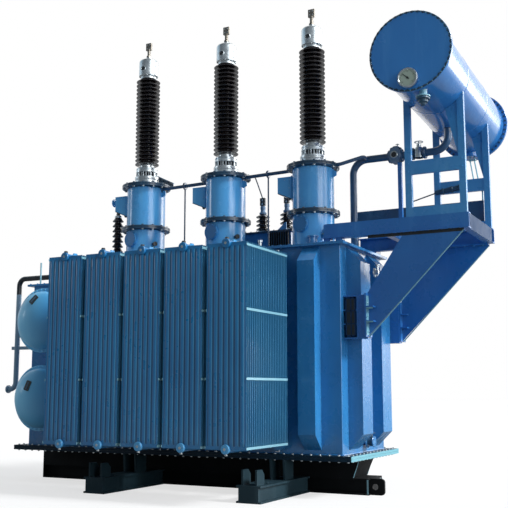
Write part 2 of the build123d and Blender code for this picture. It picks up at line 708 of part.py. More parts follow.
def neutral_bushing():
    """A small bushing on the cover: flanged foot, sheds and stud."""
    foot = DECK_Z + NEUTRAL_FLANGE_HEIGHT
    body = turned([(0, DECK_Z), (LV_FLANGE_RADIUS, DECK_Z), (LV_FLANGE_RADIUS, foot),
                   (0, foot)])
    body += shed_stack(foot, NEUTRAL_SHED_PITCH, NEUTRAL_SHED_COUNT, LV_CORE_RADIUS,
                       LV_CORE_RADIUS, NEUTRAL_SHED_RADIUS, SHED_RISE)
    top = foot + NEUTRAL_SHED_COUNT * NEUTRAL_SHED_PITCH
    return body + rod((0, 0, top), (0, 0, top + NEUTRAL_STUD_HEIGHT), NEUTRAL_STUD_RADIUS)


def gas_pipe_z(x):
    return GAS_PIPE_Z + (x - TURRET_FIRST_X) * GAS_PIPE_FALL_SHARE


def gas_pipe():
    """Runs from turret to turret and on to the oil pipe, on two thin props."""
    gap = TURRET_RADIUS + GAS_PIPE_GAP
    solids = []
    places = turret_places()
    for index, x in enumerate(places[:-1]):
        start, end = x + gap, places[index + 1] - gap
        run = rod((start, TURRET_Y, gas_pipe_z(start)), (end, TURRET_Y, gas_pipe_z(end)),
                  GAS_PIPE_RADIUS)
        prop_x = x + TURRET_PITCH / 2
        solids.append(run + rod((prop_x, TURRET_Y, DECK_Z),
                                (prop_x, TURRET_Y, gas_pipe_z(prop_x)), PROP_RADIUS))
    start = places[-1] + gap
    join = OIL_PIPE_X + GAS_PIPE_JOIN
    end_y = OIL_PIPE_Y - OIL_PIPE_RADIUS - SEAT_GAP
    z = OIL_PIPE_Z
    low = gas_pipe_z(start)
    solids.append(pipe([(start, TURRET_Y, low), (start + GAS_PIPE_LEVEL_RUN, TURRET_Y, low),
                        (join, end_y - GAS_PIPE_JOIN_RUN, z), (join, end_y, z)],
                       GAS_PIPE_BEND, GAS_PIPE_RADIUS))
    return solids


def oil_pipe():
    """From the cover up, over to the relay, and from the relay to the drum."""
    foot = rod((OIL_PIPE_X, OIL_PIPE_Y, DECK_Z),
               (OIL_PIPE_X, OIL_PIPE_Y, DECK_Z + OIL_PIPE_FOOT), OIL_PIPE_FOOT_RADIUS)
    near = RELAY_X - RELAY_LENGTH / 2
    rise = foot + pipe([(OIL_PIPE_X, OIL_PIPE_Y, DECK_Z), (OIL_PIPE_X, OIL_PIPE_Y, OIL_PIPE_Z),
                        (near, OIL_PIPE_Y, OIL_PIPE_Z)], OIL_PIPE_BEND, OIL_PIPE_RADIUS)
    far = RELAY_X + RELAY_LENGTH / 2
    lift = pipe([(far, OIL_PIPE_Y, OIL_PIPE_Z), (CONSERVATOR_X, OIL_PIPE_Y, OIL_PIPE_Z),
                 (CONSERVATOR_X, OIL_PIPE_Y, CONSERVATOR_Z)], OIL_PIPE_BEND, OIL_PIPE_RADIUS)
    return rise, lift - drum_space()


def relay():
    """The gas relay: a cast body between flanges, with a window and a lid."""
    half = RELAY_LENGTH / 2
    x, y, z = RELAY_X, OIL_PIPE_Y, OIL_PIPE_Z
    inner = half - RELAY_FLANGE
    body = block(x - inner, x + inner, y - RELAY_WIDTH / 2, y + RELAY_WIDTH / 2,
                 z - RELAY_HEIGHT / 2, z + RELAY_HEIGHT / 2)
    for side in (-1, 1):
        body += rod((x + side * inner, y, z), (x + side * half, y, z), RELAY_FLANGE_RADIUS)
    lid = z + RELAY_HEIGHT / 2
    body += rod((x, y, lid), (x, y, lid + RELAY_DOME_HEIGHT), RELAY_DOME_RADIUS)
    face = y - RELAY_WIDTH / 2
    return body + rod((x, face, z), (x, face - RELAY_WINDOW_REACH, z), RELAY_WINDOW_RADIUS)


def relay_post():
    """The post that carries the relay, on its own cross member."""
    x = RELAY_X + RELAY_POST_OFFSET
    half = RELAY_POST_SIZE / 2
    top = OIL_PIPE_Z - RELAY_HEIGHT / 2 - SEAT_GAP
    return block(x - half, x + half, OIL_PIPE_Y - half, OIL_PIPE_Y + half, PLATFORM_TOP, top)


def on_drum(shape):
    """Takes a shape from the middle of the front cover at the origin to its place."""
    place = Pos(CONSERVATOR_X, CONSERVATOR_FRONT, CONSERVATOR_Z)
    return place * Rot(-CONSERVATOR_TILT, 0, 0) * shape


def along_drum(radius, y0, y1):
    """A round bar on the drum's axis, between two distances from the front."""
    return on_drum(rod((0, y0, 0), (0, y1, 0), radius))


def drum_space():
    """The drum and its seat gap, to cut what stands against it."""
    return along_drum(CONSERVATOR_RADIUS + SEAT_GAP, 0, CONSERVATOR_LENGTH)


def conservator_shell():
    """The drum with its end rims, sump and front drain."""
    front = COVER_PLATE
    rear = CONSERVATOR_LENGTH - COVER_PLATE
    body = along_drum(CONSERVATOR_RADIUS, front, rear)
    body += along_drum(COVER_RIM_RADIUS, front, front + COVER_RIM)
    body += along_drum(COVER_RIM_RADIUS, rear - COVER_RIM, rear)
    y = CONSERVATOR_LENGTH - SUMP_INSET
    body += on_drum(rod((0, y, -CONSERVATOR_RADIUS - SUMP_HEIGHT), (0, y, 0), SUMP_RADIUS))
    x = DRAIN_OFFSET_X
    y = DRAIN_INSET
    foot = -CONSERVATOR_RADIUS - DRAIN_REACH
    body += on_drum(rod((x, y, foot), (x, y, 0), DRAIN_RADIUS))
    return body + on_drum(rod((x, y, foot), (x, y, foot + COVER_RIM), DRAIN_FLANGE_RADIUS))


def gauge():
    """The round oil level gauge on the front cover."""
    x, z = GAUGE_OFFSET_X, GAUGE_OFFSET_Z
    body = rod((x, 0, z), (x, -GAUGE_NECK, z), GAUGE_NECK_RADIUS)
    case = -GAUGE_NECK - GAUGE_DEPTH
    return on_drum(body + rod((x, -GAUGE_NECK, z), (x, case, z), GAUGE_RADIUS))


def platform_beam(side):
    """A channel along X on feet on the cover, cantilevered beyond the tank."""
    outer = side * PLATFORM_HALF_WIDTH
    inner = side * (PLATFORM_HALF_WIDTH - PLATFORM_BEAM_WIDTH)
    web = side * (PLATFORM_HALF_WIDTH - PLATFORM_WEB)
    y0, y1 = sorted((outer, inner))
    body = block(PLATFORM_START, PLATFORM_END, y0, y1, PLATFORM_Z, PLATFORM_TOP)
    cut0, cut1 = sorted((web, inner - side * CUT_OVERRUN))
    body -= block(PLATFORM_START - CUT_OVERRUN, PLATFORM_END + CUT_OVERRUN, cut0, cut1,
                  PLATFORM_Z + PLATFORM_WEB, PLATFORM_TOP - PLATFORM_WEB)
    for x in (PLATFORM_START, TANK_END - PLATFORM_FOOT):
        body += block(x, x + PLATFORM_FOOT, y0, y1, DECK_Z, PLATFORM_Z)
    return body


def platform_cross_members():
    """The members between the two side beams, under the posts and the relay."""
    reach = PLATFORM_HALF_WIDTH - PLATFORM_BEAM_WIDTH
    half = CROSS_MEMBER_WIDTH / 2
    return [block(x - half, x + half, -reach, reach, PLATFORM_Z, PLATFORM_TOP)
            for x in (RELAY_X + RELAY_POST_OFFSET, POST_LEFT, POST_RIGHT)]


def frame_side(side):
    """Two posts and two rails, with a saddle plate for the drum at the right post."""
    outer = side * PLATFORM_HALF_WIDTH
    y0, y1 = sorted((outer, outer - side * POST_DEPTH))
    half = POST_SIZE / 2
    body = block(POST_LEFT - half, POST_LEFT + half, y0, y1, PLATFORM_TOP, POST_TOP)
    body += block(POST_RIGHT - half, POST_RIGHT + half, y0, y1, PLATFORM_TOP, POST_TOP)
    rail_y0, rail_y1 = sorted((outer, outer - side * RAIL_DEPTH))
    for z, height in ((PLATFORM_TOP, LOWER_RAIL_HEIGHT), (UPPER_RAIL_Z, RAIL_HEIGHT)):
        body += block(POST_LEFT, POST_RIGHT, rail_y0, rail_y1, z, z + height)
    plate_y = outer - side * (POST_DEPTH - SADDLE_THICKNESS) / 2
    plate_y0, plate_y1 = sorted((plate_y, plate_y - side * SADDLE_THICKNESS))
    edge = POST_RIGHT - half
    tip = edge - SADDLE_REACH
    outline = [(edge, POST_TOP), (tip, POST_TOP), (tip, POST_TOP - SADDLE_TIP_DROP),
               (edge, UPPER_RAIL_Z + RAIL_HEIGHT)]
    body += side_plate(outline, plate_y0, plate_y1)
    return body - drum_space()


def pad_face():
    return TANK_END + PAD_LENGTH


def bracket(side):
    """A raking plate from the pad on the tank to the end of the platform."""
    outer = side * PLATFORM_HALF_WIDTH
    y0, y1 = sorted((outer, outer - side * BRACKET_PLATE))
    start = pad_face()
    top = PLATFORM_Z
    end = PLATFORM_END - BRACKET_END_INSET
    outline = [(start, BRACKET_TIP_Z), (end, top - CHANNEL_THICKNESS), (end, top),
               (BRACKET_TOP_START, top), (start, BRACKET_TIP_Z + BRACKET_SIDE)]
    body = side_plate(outline, y0, y1)
    f0, f1 = sorted((outer, outer - side * BRACKET_FLANGE))
    body += block(BRACKET_TOP_START, end, f0, f1, top - CHANNEL_THICKNESS, top)
    f0, f1 = sorted((outer + side * BRACKET_FLANGE_REACH, outer - side * BRACKET_FLANGE))
    body += block(start, start + PAD_PLATE, f0, f1, BRACKET_TIP_Z,
                  BRACKET_TIP_Z + BRACKET_SIDE)
    for index in range(BRACKET_RIB_COUNT):
        share = (index + 1) / (BRACKET_RIB_COUNT + 1)
        z = BRACKET_TIP_Z + BRACKET_SIDE * share
        body += block(start, start + BRACKET_FLANGE, f0, f1, z, z + PAD_PLATE)
    return body


def pad(side):
    """The ribbed box on the tank's end wall that a bracket bolts to."""
    outer = side * PLATFORM_HALF_WIDTH
    y0, y1 = sorted((outer, outer - side * PAD_DEPTH))
    low, high = PAD_BOTTOM_Z, PAD_BOTTOM_Z + PAD_HEIGHT
    face = pad_face()
    body = block(face - PAD_PLATE, face, y0, y1, low, high)
    front0, front1 = sorted((outer, outer - side * PAD_PLATE))
    body += block(face - PAD_COVER, face, front0, front1, low, high)
    back0, back1 = sorted((outer - side * PAD_DEPTH, outer - side * (PAD_DEPTH - PAD_PLATE)))
    body += block(TANK_END, face, back0, back1, low, high)
    step = (PAD_HEIGHT - PAD_PLATE) / PAD_RIB_COUNT
    for index in range(PAD_RIB_COUNT + 1):
        z = low + index * step
        body += block(TANK_END, face, y0, y1, z, z + PAD_PLATE)
    return body


def cable_duct():
    """A closed duct behind the rear posts, on legs from the cover."""
    y0 = PLATFORM_HALF_WIDTH + SEAT_GAP
    y1 = y0 + DUCT_DEPTH
    left = TANK_END - DUCT_START
    low = DECK_Z + DUCT_RISE + PLATFORM_GAP
    body = block(left, PLATFORM_END - DUCT_END, y0, y1, low, low + DUCT_HEIGHT)
    for x in (left, TANK_END - DUCT_LEG):
        body += block(x, x + DUCT_LEG, y0, y1, DECK_Z, low)
    return body


def domed_cover(z):
    """A round neck with a bolted rim and a dished cover, facing the front."""
    seat = -TANK_SIDE
    rim = seat - DRUM_REACH
    body = rod((DRUM_X, seat, z), (DRUM_X, rim, z), DRUM_RADIUS)
    body += rod((DRUM_X, rim, z), (DRUM_X, rim - DRUM_RIM, z), DRUM_RIM_RADIUS)
    dish = (DRUM_RADIUS ** 2 + DRUM_BULGE ** 2) / (2 * DRUM_BULGE)
    face = rim - DRUM_RIM
    ball = Pos(DRUM_X, face - DRUM_BULGE + dish, z) * Sphere(dish)
    reach = DRUM_RIM_RADIUS + CUT_OVERRUN
    front = block(DRUM_X - reach, DRUM_X + reach, face - DRUM_RIM_RADIUS, face,
                  z - reach, z + reach)
    return body + (ball & front)


def relief_pipe():
    """From the tank out over the housing and down beside it, on a braced bracket."""
    top = RELIEF_TOP_Z
    wall = SWITCH_LEFT
    foot_z = RELIEF_BOTTOM_Z
    foot_x = RELIEF_X - RELIEF_FOOT_REACH
    body = pipe([(TANK_LEFT, RELIEF_Y, top), (RELIEF_X, RELIEF_Y, top),
                 (RELIEF_X, RELIEF_Y, foot_z), (foot_x, RELIEF_Y, foot_z)],
                RELIEF_BEND, RELIEF_RADIUS)
    body += rod((foot_x, RELIEF_Y, foot_z), (foot_x - RELIEF_FLANGE, RELIEF_Y, foot_z),
                RELIEF_FLANGE_RADIUS)
    half = RELIEF_BRACKET_SIZE / 2
    z = RELIEF_BRACKET_Z
    body += block(RELIEF_X - RELIEF_BRACKET_OVERHANG, wall, RELIEF_Y - half,
                  RELIEF_Y + half, z - half, z + half)
    body += rod((RELIEF_X, RELIEF_Y, z + RELIEF_STRUT_RISE),
                (wall, RELIEF_Y, z - RELIEF_STRUT_DROP), RELIEF_STRUT_RADIUS)
    return body - block(wall, wall + CUT_OVERRUN, RELIEF_Y - half, RELIEF_Y + half,
                        z - RELIEF_STRUT_DROP - half, z)


def build():
    save("base_girder", girder())
    save("tow_plate", tow_plate())
    save("cross_beams", *[cross_beam(x, side) for x in beam_places() for side in (-1, 1)])
    save("beam_stools", *[plate for x in beam_places() for side in (-1, 1)
                          for plate in stools(x, side)])
    save("tank_keel", keel())
    save("bottom_flange", bottom_flange())
    save("tank_body", tank_body())
    save("front_stiffeners", *long_stiffeners(-1))
    save("rear_stiffeners", *long_stiffeners(1))
    save("end_stiffeners", *end_stiffeners())
    save("tank_cover", tank_cover())
    save("switch_housing", switch_housing())
    stack = radiator_stack()
    for index, x in enumerate(radiator_places(), start=1):
        save(f"front_radiator_{index}", Pos(x, -RADIATOR_FRONT, 0) * stack)
        save(f"rear_radiator_{index}", Pos(x, RADIATOR_FRONT, 0) * Rot(0, 0, 180) * stack)
    porcelain = shed_stack(PORCELAIN_Z, SHED_PITCH, SHED_COUNT, PORCELAIN_RADIUS,
                           PORCELAIN_TOP_RADIUS, SHED_RADIUS, SHED_RISE)
    for index, x in enumerate(turret_places(), start=1):
        place = Pos(x, TURRET_Y, 0)
        save(f"turret_{index}", place * turret())
        save(f"bushing_foot_{index}", place * bushing_foot())
        save(f"bushing_porcelain_{index}", place * porcelain)
        save(f"bushing_head_{index}", place * bushing_head())
        save(f"terminal_box_{index}", place * terminal_box(index == STUB_BOX))
    places = [LV_FIRST_X + index * LV_PITCH for index in range(LV_COUNT)]
    save("low_voltage_bushings", *[Pos(x, LV_Y, 0) * lv_bushing() for x in places])
    save("neutral_bushing", Pos(NEUTRAL_X, TURRET_Y, 0) * neutral_bushing())
    save("gas_pipe", *gas_pipe())
    rise, lift = oil_pipe()
    save("oil_pipe_lower", rise)
    save("oil_pipe_upper", lift)
    save("gas_relay", relay())
    save("relay_post", relay_post())
    save("conservator_shell", conservator_shell())
    rear = CONSERVATOR_LENGTH
    save("conservator_front_cover", along_drum(COVER_RIM_RADIUS, 0, COVER_PLATE))
    save("conservator_rear_cover", along_drum(COVER_RIM_RADIUS, rear - COVER_PLATE, rear))
    save("oil_level_gauge", gauge())
    save("platform_beam_front", platform_beam(-1))
    save("platform_beam_rear", platform_beam(1))
    save("platform_cross_members", *platform_cross_members())
    save("conservator_frame_front", frame_side(-1))
    save("conservator_frame_rear", frame_side(1))
    save("bracket_front", bracket(-1))
    save("bracket_rear", bracket(1))
    save("bracket_pads", pad(-1), pad(1))
    save("cable_duct", cable_duct())
    save("domed_cover_lower", domed_cover(DRUM_LOW_Z))
    save("domed_cover_upper", domed_cover(DRUM_LOW_Z + DRUM_PITCH))
    save("relief_pipe", relief_pipe())


build()
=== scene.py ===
"""Power transformer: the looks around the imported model.

Metres. X runs along the tank, Y from the front to the rear, Z up, as in the model.
"""

import math

import bmesh
import bpy
from mathutils import Matrix, Vector


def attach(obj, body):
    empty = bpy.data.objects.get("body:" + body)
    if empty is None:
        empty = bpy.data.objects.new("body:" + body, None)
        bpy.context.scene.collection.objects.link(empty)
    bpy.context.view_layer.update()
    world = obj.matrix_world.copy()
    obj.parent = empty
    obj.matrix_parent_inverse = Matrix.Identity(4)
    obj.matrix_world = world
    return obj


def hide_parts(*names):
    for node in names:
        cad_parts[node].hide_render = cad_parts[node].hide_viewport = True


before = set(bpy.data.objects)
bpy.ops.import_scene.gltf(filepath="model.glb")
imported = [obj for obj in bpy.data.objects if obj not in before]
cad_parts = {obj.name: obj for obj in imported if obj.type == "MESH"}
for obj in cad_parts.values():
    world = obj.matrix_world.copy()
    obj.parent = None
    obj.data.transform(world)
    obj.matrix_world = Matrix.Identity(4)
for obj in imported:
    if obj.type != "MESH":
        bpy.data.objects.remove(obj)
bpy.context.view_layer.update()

UP, DOWN = (0, 0, 1), (0, 0, -1)
RIGHT, LEFT = (1, 0, 0), (-1, 0, 0)
REAR, FRONT = (0, 1, 0), (0, -1, 0)
WHITE = (1.0, 1.0, 1.0, 1.0)


# Camera, light and floor

LENS = 63.35
CAMERA_SPOT = (6.531, -11.008, 1.297)
CAMERA_PITCH, CAMERA_YAW = 8.62, 27.3

# name, degrees round from +X, degrees up, strength, angle of the lamp, colour
SUNS = (
    ("key", 1, 38, 3.6, 14, WHITE),
    ("side", -4, 10, 0.75, 34, WHITE),
    ("gloss_right", -30, 8, 0.5, 24, WHITE),
    ("gloss_edge", 58, 14, 0.8, 26, WHITE),
    ("gloss_left", -160, 11.5, 0.1, 9, WHITE),
    ("fill", -110, 20, 0.05, 60, (0.8, 0.9, 1.0)),
    ("left", -174, 24, 0.28, 50, (0.55, 0.8, 1.0)),
)
ROOM_COLOR = (0.8, 0.9, 1.0, 1.0)
FLOOR_REACH = 90.0
FLOOR_TONE = (0.3, 0.3, 0.3, 1.0)
FLOOR_GLOW = 0.68


def place_camera():
    """The photograph's viewpoint, at eye height, looking slightly up."""
    data = bpy.data.cameras.new("camera")
    data.sensor_fit = "HORIZONTAL"
    data.sensor_width = 36.0
    data.lens = LENS
    data.clip_end = 200.0
    camera = bpy.data.objects.new("camera", data)
    camera.location = CAMERA_SPOT
    camera.rotation_euler = (math.radians(90 + CAMERA_PITCH), 0.0, math.radians(CAMERA_YAW))
    bpy.context.collection.objects.link(camera)
    bpy.context.scene.camera = camera


def sun(name, azimuth, elevation, strength, angle, color):
    """A distant soft lamp that shines from a direction."""
    turn, rise = math.radians(azimuth), math.radians(elevation)
    source = Vector((math.cos(rise) * math.cos(turn), math.cos(rise) * math.sin(turn),
                     math.sin(rise)))
    data = bpy.data.lights.new(name, "SUN")
    data.energy = strength
    data.angle = math.radians(angle)
    data.color = color[:3]
    lamp = bpy.data.objects.new(name, data)
    lamp.rotation_euler = source.to_track_quat("Z", "Y").to_euler()
    bpy.context.collection.objects.link(lamp)


class Nodes:
    """Adds nodes to one tree."""

    def __init__(self, tree):
        self.tree = tree

    def feed(self, socket, value):
        """Sets a socket, or links it where the value is another socket."""
        if isinstance(value, bpy.types.NodeSocket):
            self.tree.links.new(value, socket)
        else:
            socket.default_value = value

    def node(self, kind, **inputs):
        made = self.tree.nodes.new("ShaderNode" + kind)
        for key, value in inputs.items():
            self.feed(made.inputs[key.replace("_", " ")], value)
        return made

    def join(self, kind, *values, **settings):
        """A node whose first inputs are given in their order; its first output."""
        made = self.node(kind)
        for key, value in settings.items():
            setattr(made, key, value)
        for socket, value in zip(made.inputs, values):
            self.feed(socket, value)
        return made.outputs[0]

    def ramp(self, source, low, high, low_value=0.0, high_value=1.0):
        return self.node("MapRange", Value=source, From_Min=low, From_Max=high,
                         To_Min=low_value, To_Max=high_value).outputs["Result"]


def light_scene():
    """A soft key from the right, low lamps for the gloss and a dim bluish room."""
    for row in SUNS:
        sun(*row)
    world = bpy.data.worlds.new("studio")
    bpy.context.scene.world = world
    world.use_nodes = True
    world.node_tree.nodes.clear()
    tree = Nodes(world.node_tree)
    seen = tree.node("Background", Color=WHITE, Strength=1.0).outputs[0]
    place = tree.node("SeparateXYZ", Vector=tree.node("TexCoord").outputs["Generated"])
    # the room is brighter towards the key
    across = tree.ramp(place.outputs["X"], -0.3, 1.0, 0.13, 0.5)
    dim = tree.node("Background", Color=ROOM_COLOR, Strength=across).outputs[0]
    # the white backdrop stands behind the object, also in its gloss
    behind = tree.ramp(place.outputs["Y"], -0.15, 0.55)
    path = tree.node("LightPath").outputs
    gloss = tree.join("Math", path["Is Glossy Ray"], behind, operation="MULTIPLY")
    clear = tree.join("Math", path["Is Camera Ray"], path["Is Transmission Ray"],
                      operation="MAXIMUM")
    either = tree.join("Math", clear, gloss, operation="MAXIMUM")
    tree.node("OutputWorld", Surface=tree.join("MixShader", either, dim, seen))
    bpy.context.scene.view_settings.view_transform = "Standard"


def lay_floor():
    """A large pale floor that keeps the object's shadow."""
    mesh = bpy.data.meshes.new("floor")
    corners = [(x * FLOOR_REACH, y * FLOOR_REACH, 0)
               for x, y in ((-1, -1), (1, -1), (1, 1), (-1, 1))]
    mesh.from_pydata(corners, [], [(0, 1, 2, 3)])
    floor = bpy.data.objects.new("floor", mesh)
    bpy.context.collection.objects.link(floor)
    paint = Paint("floor")
    paint.finish(Base_Color=FLOOR_TONE, Roughness=0.9, Specular_IOR_Level=0.1)
    glow = paint.node("Emission", Color=WHITE, Strength=FLOOR_GLOW).outputs[0]
    dark = paint.node("Emission", Strength=0.0).outputs[0]
    seen = paint.node("LightPath").outputs["Is Camera Ray"]
    both = paint.join("AddShader", paint.shader.outputs[0],
                      paint.join("MixShader", seen, dark, glow))
    paint.feed(paint.tree.nodes["Material Output"].inputs["Surface"], both)
    mesh.materials.append(paint.material)


# Materials

DUST = (0.16, 0.15, 0.13)
FILM = (0.1, 0.1, 0.11)


class Paint(Nodes):
    """Builds one procedural material, step by step."""

    def __init__(self, name):
        self.material = bpy.data.materials.new(name)
        self.material.use_nodes = True
        super().__init__(self.material.node_tree)
        self.shader = self.tree.nodes["Principled BSDF"]
        self.place = self.node("TexCoord").outputs["Object"]

    def finish(self, **inputs):
        for key, value in inputs.items():
            self.feed(self.shader.inputs[key.replace("_", " ")], value)

    def noise(self, scale, detail=4.0, rough=0.55, stretch=(1.0, 1.0, 1.0)):
        place = self.node("Mapping", Vector=self.place, Scale=stretch).outputs["Vector"]
        return self.node("TexNoise", Vector=place, Scale=scale, Detail=detail,
                         Roughness=rough).outputs["Fac"]

    def mix(self, factor, first, second):
        """A colour between two, each of them a colour or a socket."""
        made = self.node("Mix")
        made.data_type = "RGBA"
        self.feed(made.inputs["Factor"], factor)
        for socket, value in ((made.inputs[6], first), (made.inputs[7], second)):
            self.feed(socket, (*value, 1.0) if isinstance(value, tuple) else value)
        return made.outputs[2]

    def along(self, axis):
        return self.node("SeparateXYZ", Vector=self.place).outputs[axis]

    def bump(self, fine_scale, fine, wave_scale=0.0, wave=0.0):
        made = self.node("Bump", Strength=fine, Distance=0.001,
                         Height=self.noise(fine_scale, 3.0))
        if wave:
            made = self.node("Bump", Strength=wave, Distance=0.02,
                             Height=self.noise(wave_scale, 2.0),
                             Normal=made.outputs["Normal"])
        self.finish(Normal=made.outputs["Normal"])

    def worn_and_highlit_edges(self):
        """About one at an edge, where wear and a painted highlight go, nothing on a flat
        face.
        """
        soft = self.node("Bevel", Radius=0.006)
        soft.samples = 4
        dot = self.node("VectorMath")
        dot.operation = "DOT_PRODUCT"
        self.feed(dot.inputs[0], soft.outputs["Normal"])
        self.feed(dot.inputs[1], self.node("NewGeometry").outputs["Normal"])
        turned = self.ramp(dot.outputs["Value"], 0.995, 0.8)
        broken = self.ramp(self.noise(22.0, 6.0, 0.7), 0.55, 0.68)
        return self.join("Math", turned, broken, operation="MULTIPLY")


def gloss_paint(name, color, shade, faded, rough=0.34, coat=0.25, dusty=True, painted_light_ramp=None,
                grain=0.12):
    """Machine enamel: patches, runs, dust low down, and wear with a painted highlight on the
    edges.

    A painted light ramp is an axis, where it starts, where it ends and its colour: painted
    light and shade that change along that axis.
    """
    p = Paint(name)
    patches = p.ramp(p.noise(0.9, 5.0), 0.35, 0.68)
    tone = p.mix(patches, shade, color)
    runs = p.ramp(p.noise(7.0, 5.0, 0.6, (1.0, 1.0, 0.12)), 0.52, 0.78, 0.0, 0.45)
    tone = p.mix(runs, tone, faded)
    specks = p.ramp(p.noise(60.0, 4.0, 0.7), 0.66, 0.75, 0.0, 0.18)
    tone = p.mix(specks, tone, tuple(value * 0.45 for value in shade))
    # painted light and shade: the colour turns to the last one along an axis
    if painted_light_ramp:
        axis, start, end, last = painted_light_ramp
        tone = p.mix(p.ramp(p.along(axis), start, end), tone, last)
    if dusty:
        low = p.ramp(p.along("Z"), 0.95, 0.05)
        thick = p.ramp(p.noise(5.0, 6.0), 0.35, 0.75, 0.0, 0.55)
        tone = p.mix(p.join("Math", low, thick, operation="MULTIPLY"), tone, DUST)
    # the edges turn a paler blue: worn paint and a painted highlight
    edge_wear_and_highlight = tuple(min(1.0, value * 1.6 + 0.05) for value in faded)
    p.finish(Base_Color=p.mix(p.worn_and_highlit_edges(), tone, edge_wear_and_highlight), Coat_Weight=coat,
             Coat_Roughness=0.12,
             Roughness=p.ramp(p.noise(4.0, 5.0), 0.3, 0.75, rough - 0.07, rough + 0.13))
    if not coat:
        p.finish(Specular_IOR_Level=0.2)
    p.bump(260.0, grain, 2.3, 0.05)
    return p.material


def bare_metal(name, color, dark, rough, metallic=1.0):
    """Cast or plated metal with stains and fine grain."""
    p = Paint(name)
    patches = p.ramp(p.noise(9.0, 6.0, 0.65), 0.35, 0.72)
    stains = p.ramp(p.noise(2.6, 4.0, 0.6, (1.0, 1.0, 0.4)), 0.55, 0.8, 0.0, 0.5)
    tone = p.mix(stains, p.mix(patches, dark, color), tuple(value * 0.5 for value in dark))
    p.finish(Base_Color=tone, Metallic=metallic,
             Roughness=p.ramp(p.noise(30.0, 5.0), 0.3, 0.75, rough - 0.1, rough + 0.14))
    p.bump(320.0, 0.1, 12.0, 0.03)
    return p.material


def glaze(name, color, shade):
    """Dark glazed porcelain or glass with a film of dust on it."""
    p = Paint(name)
    tone = p.mix(p.ramp(p.noise(6.0, 4.0), 0.35, 0.7), shade, color)
    film = p.ramp(p.noise(18.0, 6.0, 0.7), 0.5, 0.85, 0.0, 0.3)
    p.finish(Base_Color=p.mix(film, tone, FILM), Coat_Weight=0.6, Coat_Roughness=0.08,
             Roughness=p.ramp(p.noise(14.0, 5.0), 0.3, 0.75, 0.1, 0.32))
    p.bump(40.0, 0.15)
    return p.material


# colour, shade, faded colour, then roughness, coat, dust, painted light ramp and grain where
# they differ
ENAMELS = {
    "tank": ((0.03, 0.215, 0.5), (0.024, 0.17, 0.42), (0.06, 0.29, 0.56), 0.26, 0.35),
    "radiator": ((0.012, 0.18, 0.42), (0.009, 0.14, 0.35), (0.035, 0.26, 0.48), 0.3, 0.3),
    "seam": ((0.06, 0.27, 0.46), (0.045, 0.22, 0.4), (0.11, 0.35, 0.52), 0.34, 0.2),
    # the domed covers darken towards +X: painted light on their left sides, painted shade on
    # their right
    "dome": ((0.24, 0.72, 1.0), (0.18, 0.62, 0.96), (0.32, 0.78, 1.0), 0.4, 0.2, True,
             ("X", -2.25, -1.6, (0.03, 0.24, 0.56))),
    "boss": ((0.07, 0.34, 0.64), (0.05, 0.27, 0.55), (0.14, 0.44, 0.7), 0.34, 0.3),
    "groove": ((0.006, 0.08, 0.2), (0.004, 0.06, 0.16), (0.015, 0.12, 0.26), 0.4, 0.1),
    "conservator": ((0.032, 0.225, 0.6), (0.026, 0.18, 0.52), (0.07, 0.3, 0.66), 0.2,
                    0.6, True, None, 0.03),
    "frame": ((0.026, 0.18, 0.5), (0.019, 0.135, 0.42), (0.06, 0.25, 0.58), 0.28, 0.35),
    "post": ((0.06, 0.3, 0.62), (0.035, 0.2, 0.5), (0.15, 0.42, 0.7), 0.28, 0.35),
    "pipe": ((0.02, 0.085, 0.19), (0.014, 0.06, 0.14), (0.05, 0.15, 0.27), 0.3, 0.4),
    # the base: black paint, made darker still as painted shade under the tank
    "base": ((0.0022, 0.0036, 0.0048), (0.0015, 0.0025, 0.0035), (0.006, 0.009, 0.011),
             0.6, 0.0, False),
    "beam": ((0.018, 0.042, 0.056), (0.01, 0.026, 0.036), (0.05, 0.09, 0.11), 0.5, 0.0,
             False),
    # the turret enamel is the tank's blue made paler: painted light for the turrets' sunlit
    # sides
    "turret": ((0.1, 0.44, 0.84), (0.06, 0.32, 0.72), (0.2, 0.58, 0.9), 0.22, 0.45,
               True, None, 0.05),
    "rim": ((0.012, 0.06, 0.12), (0.007, 0.035, 0.075), (0.04, 0.12, 0.19), 0.34, 0.3),
    # the bottom flange: near black as painted shadow under the radiators, pale at its right
    # end as painted light where the sun falls
    "skirt": ((0.004, 0.022, 0.042), (0.003, 0.013, 0.026), (0.012, 0.045, 0.07), 0.4, 0.0,
              False, ("X", 2.588, 2.598, (0.16, 0.4, 0.48))),
    "relief": ((0.006, 0.014, 0.024), (0.004, 0.01, 0.016), (0.02, 0.04, 0.06), 0.36),
    "grey": ((0.26, 0.42, 0.56), (0.2, 0.34, 0.47), (0.34, 0.5, 0.62), 0.4),
    "matt": ((0.01, 0.045, 0.12), (0.007, 0.03, 0.085), (0.02, 0.07, 0.16), 0.55, 0.0,
             False),
    "strap": ((0.22, 0.46, 0.56), (0.15, 0.36, 0.46), (0.3, 0.54, 0.62), 0.36),
    "shade": ((0.01, 0.016, 0.02), (0.006, 0.01, 0.013), (0.03, 0.04, 0.045), 0.45),
    "valve": ((0.03, 0.09, 0.15), (0.02, 0.06, 0.1), (0.07, 0.13, 0.19), 0.42),
    "dial": ((0.42, 0.52, 0.44), (0.34, 0.44, 0.38), (0.5, 0.58, 0.5), 0.3),
}
# colour, dark patches, roughness, then how metallic where it isn't all metal
METALS = {
    "cast": ((0.8, 0.85, 0.87), (0.52, 0.58, 0.61), 0.32),
    "zinc": ((0.66, 0.72, 0.74), (0.42, 0.47, 0.49), 0.38),
    "copper": ((0.36, 0.34, 0.3), (0.22, 0.2, 0.17), 0.42),
    "relay": ((0.2, 0.3, 0.42), (0.1, 0.17, 0.27), 0.45, 0.35),
}
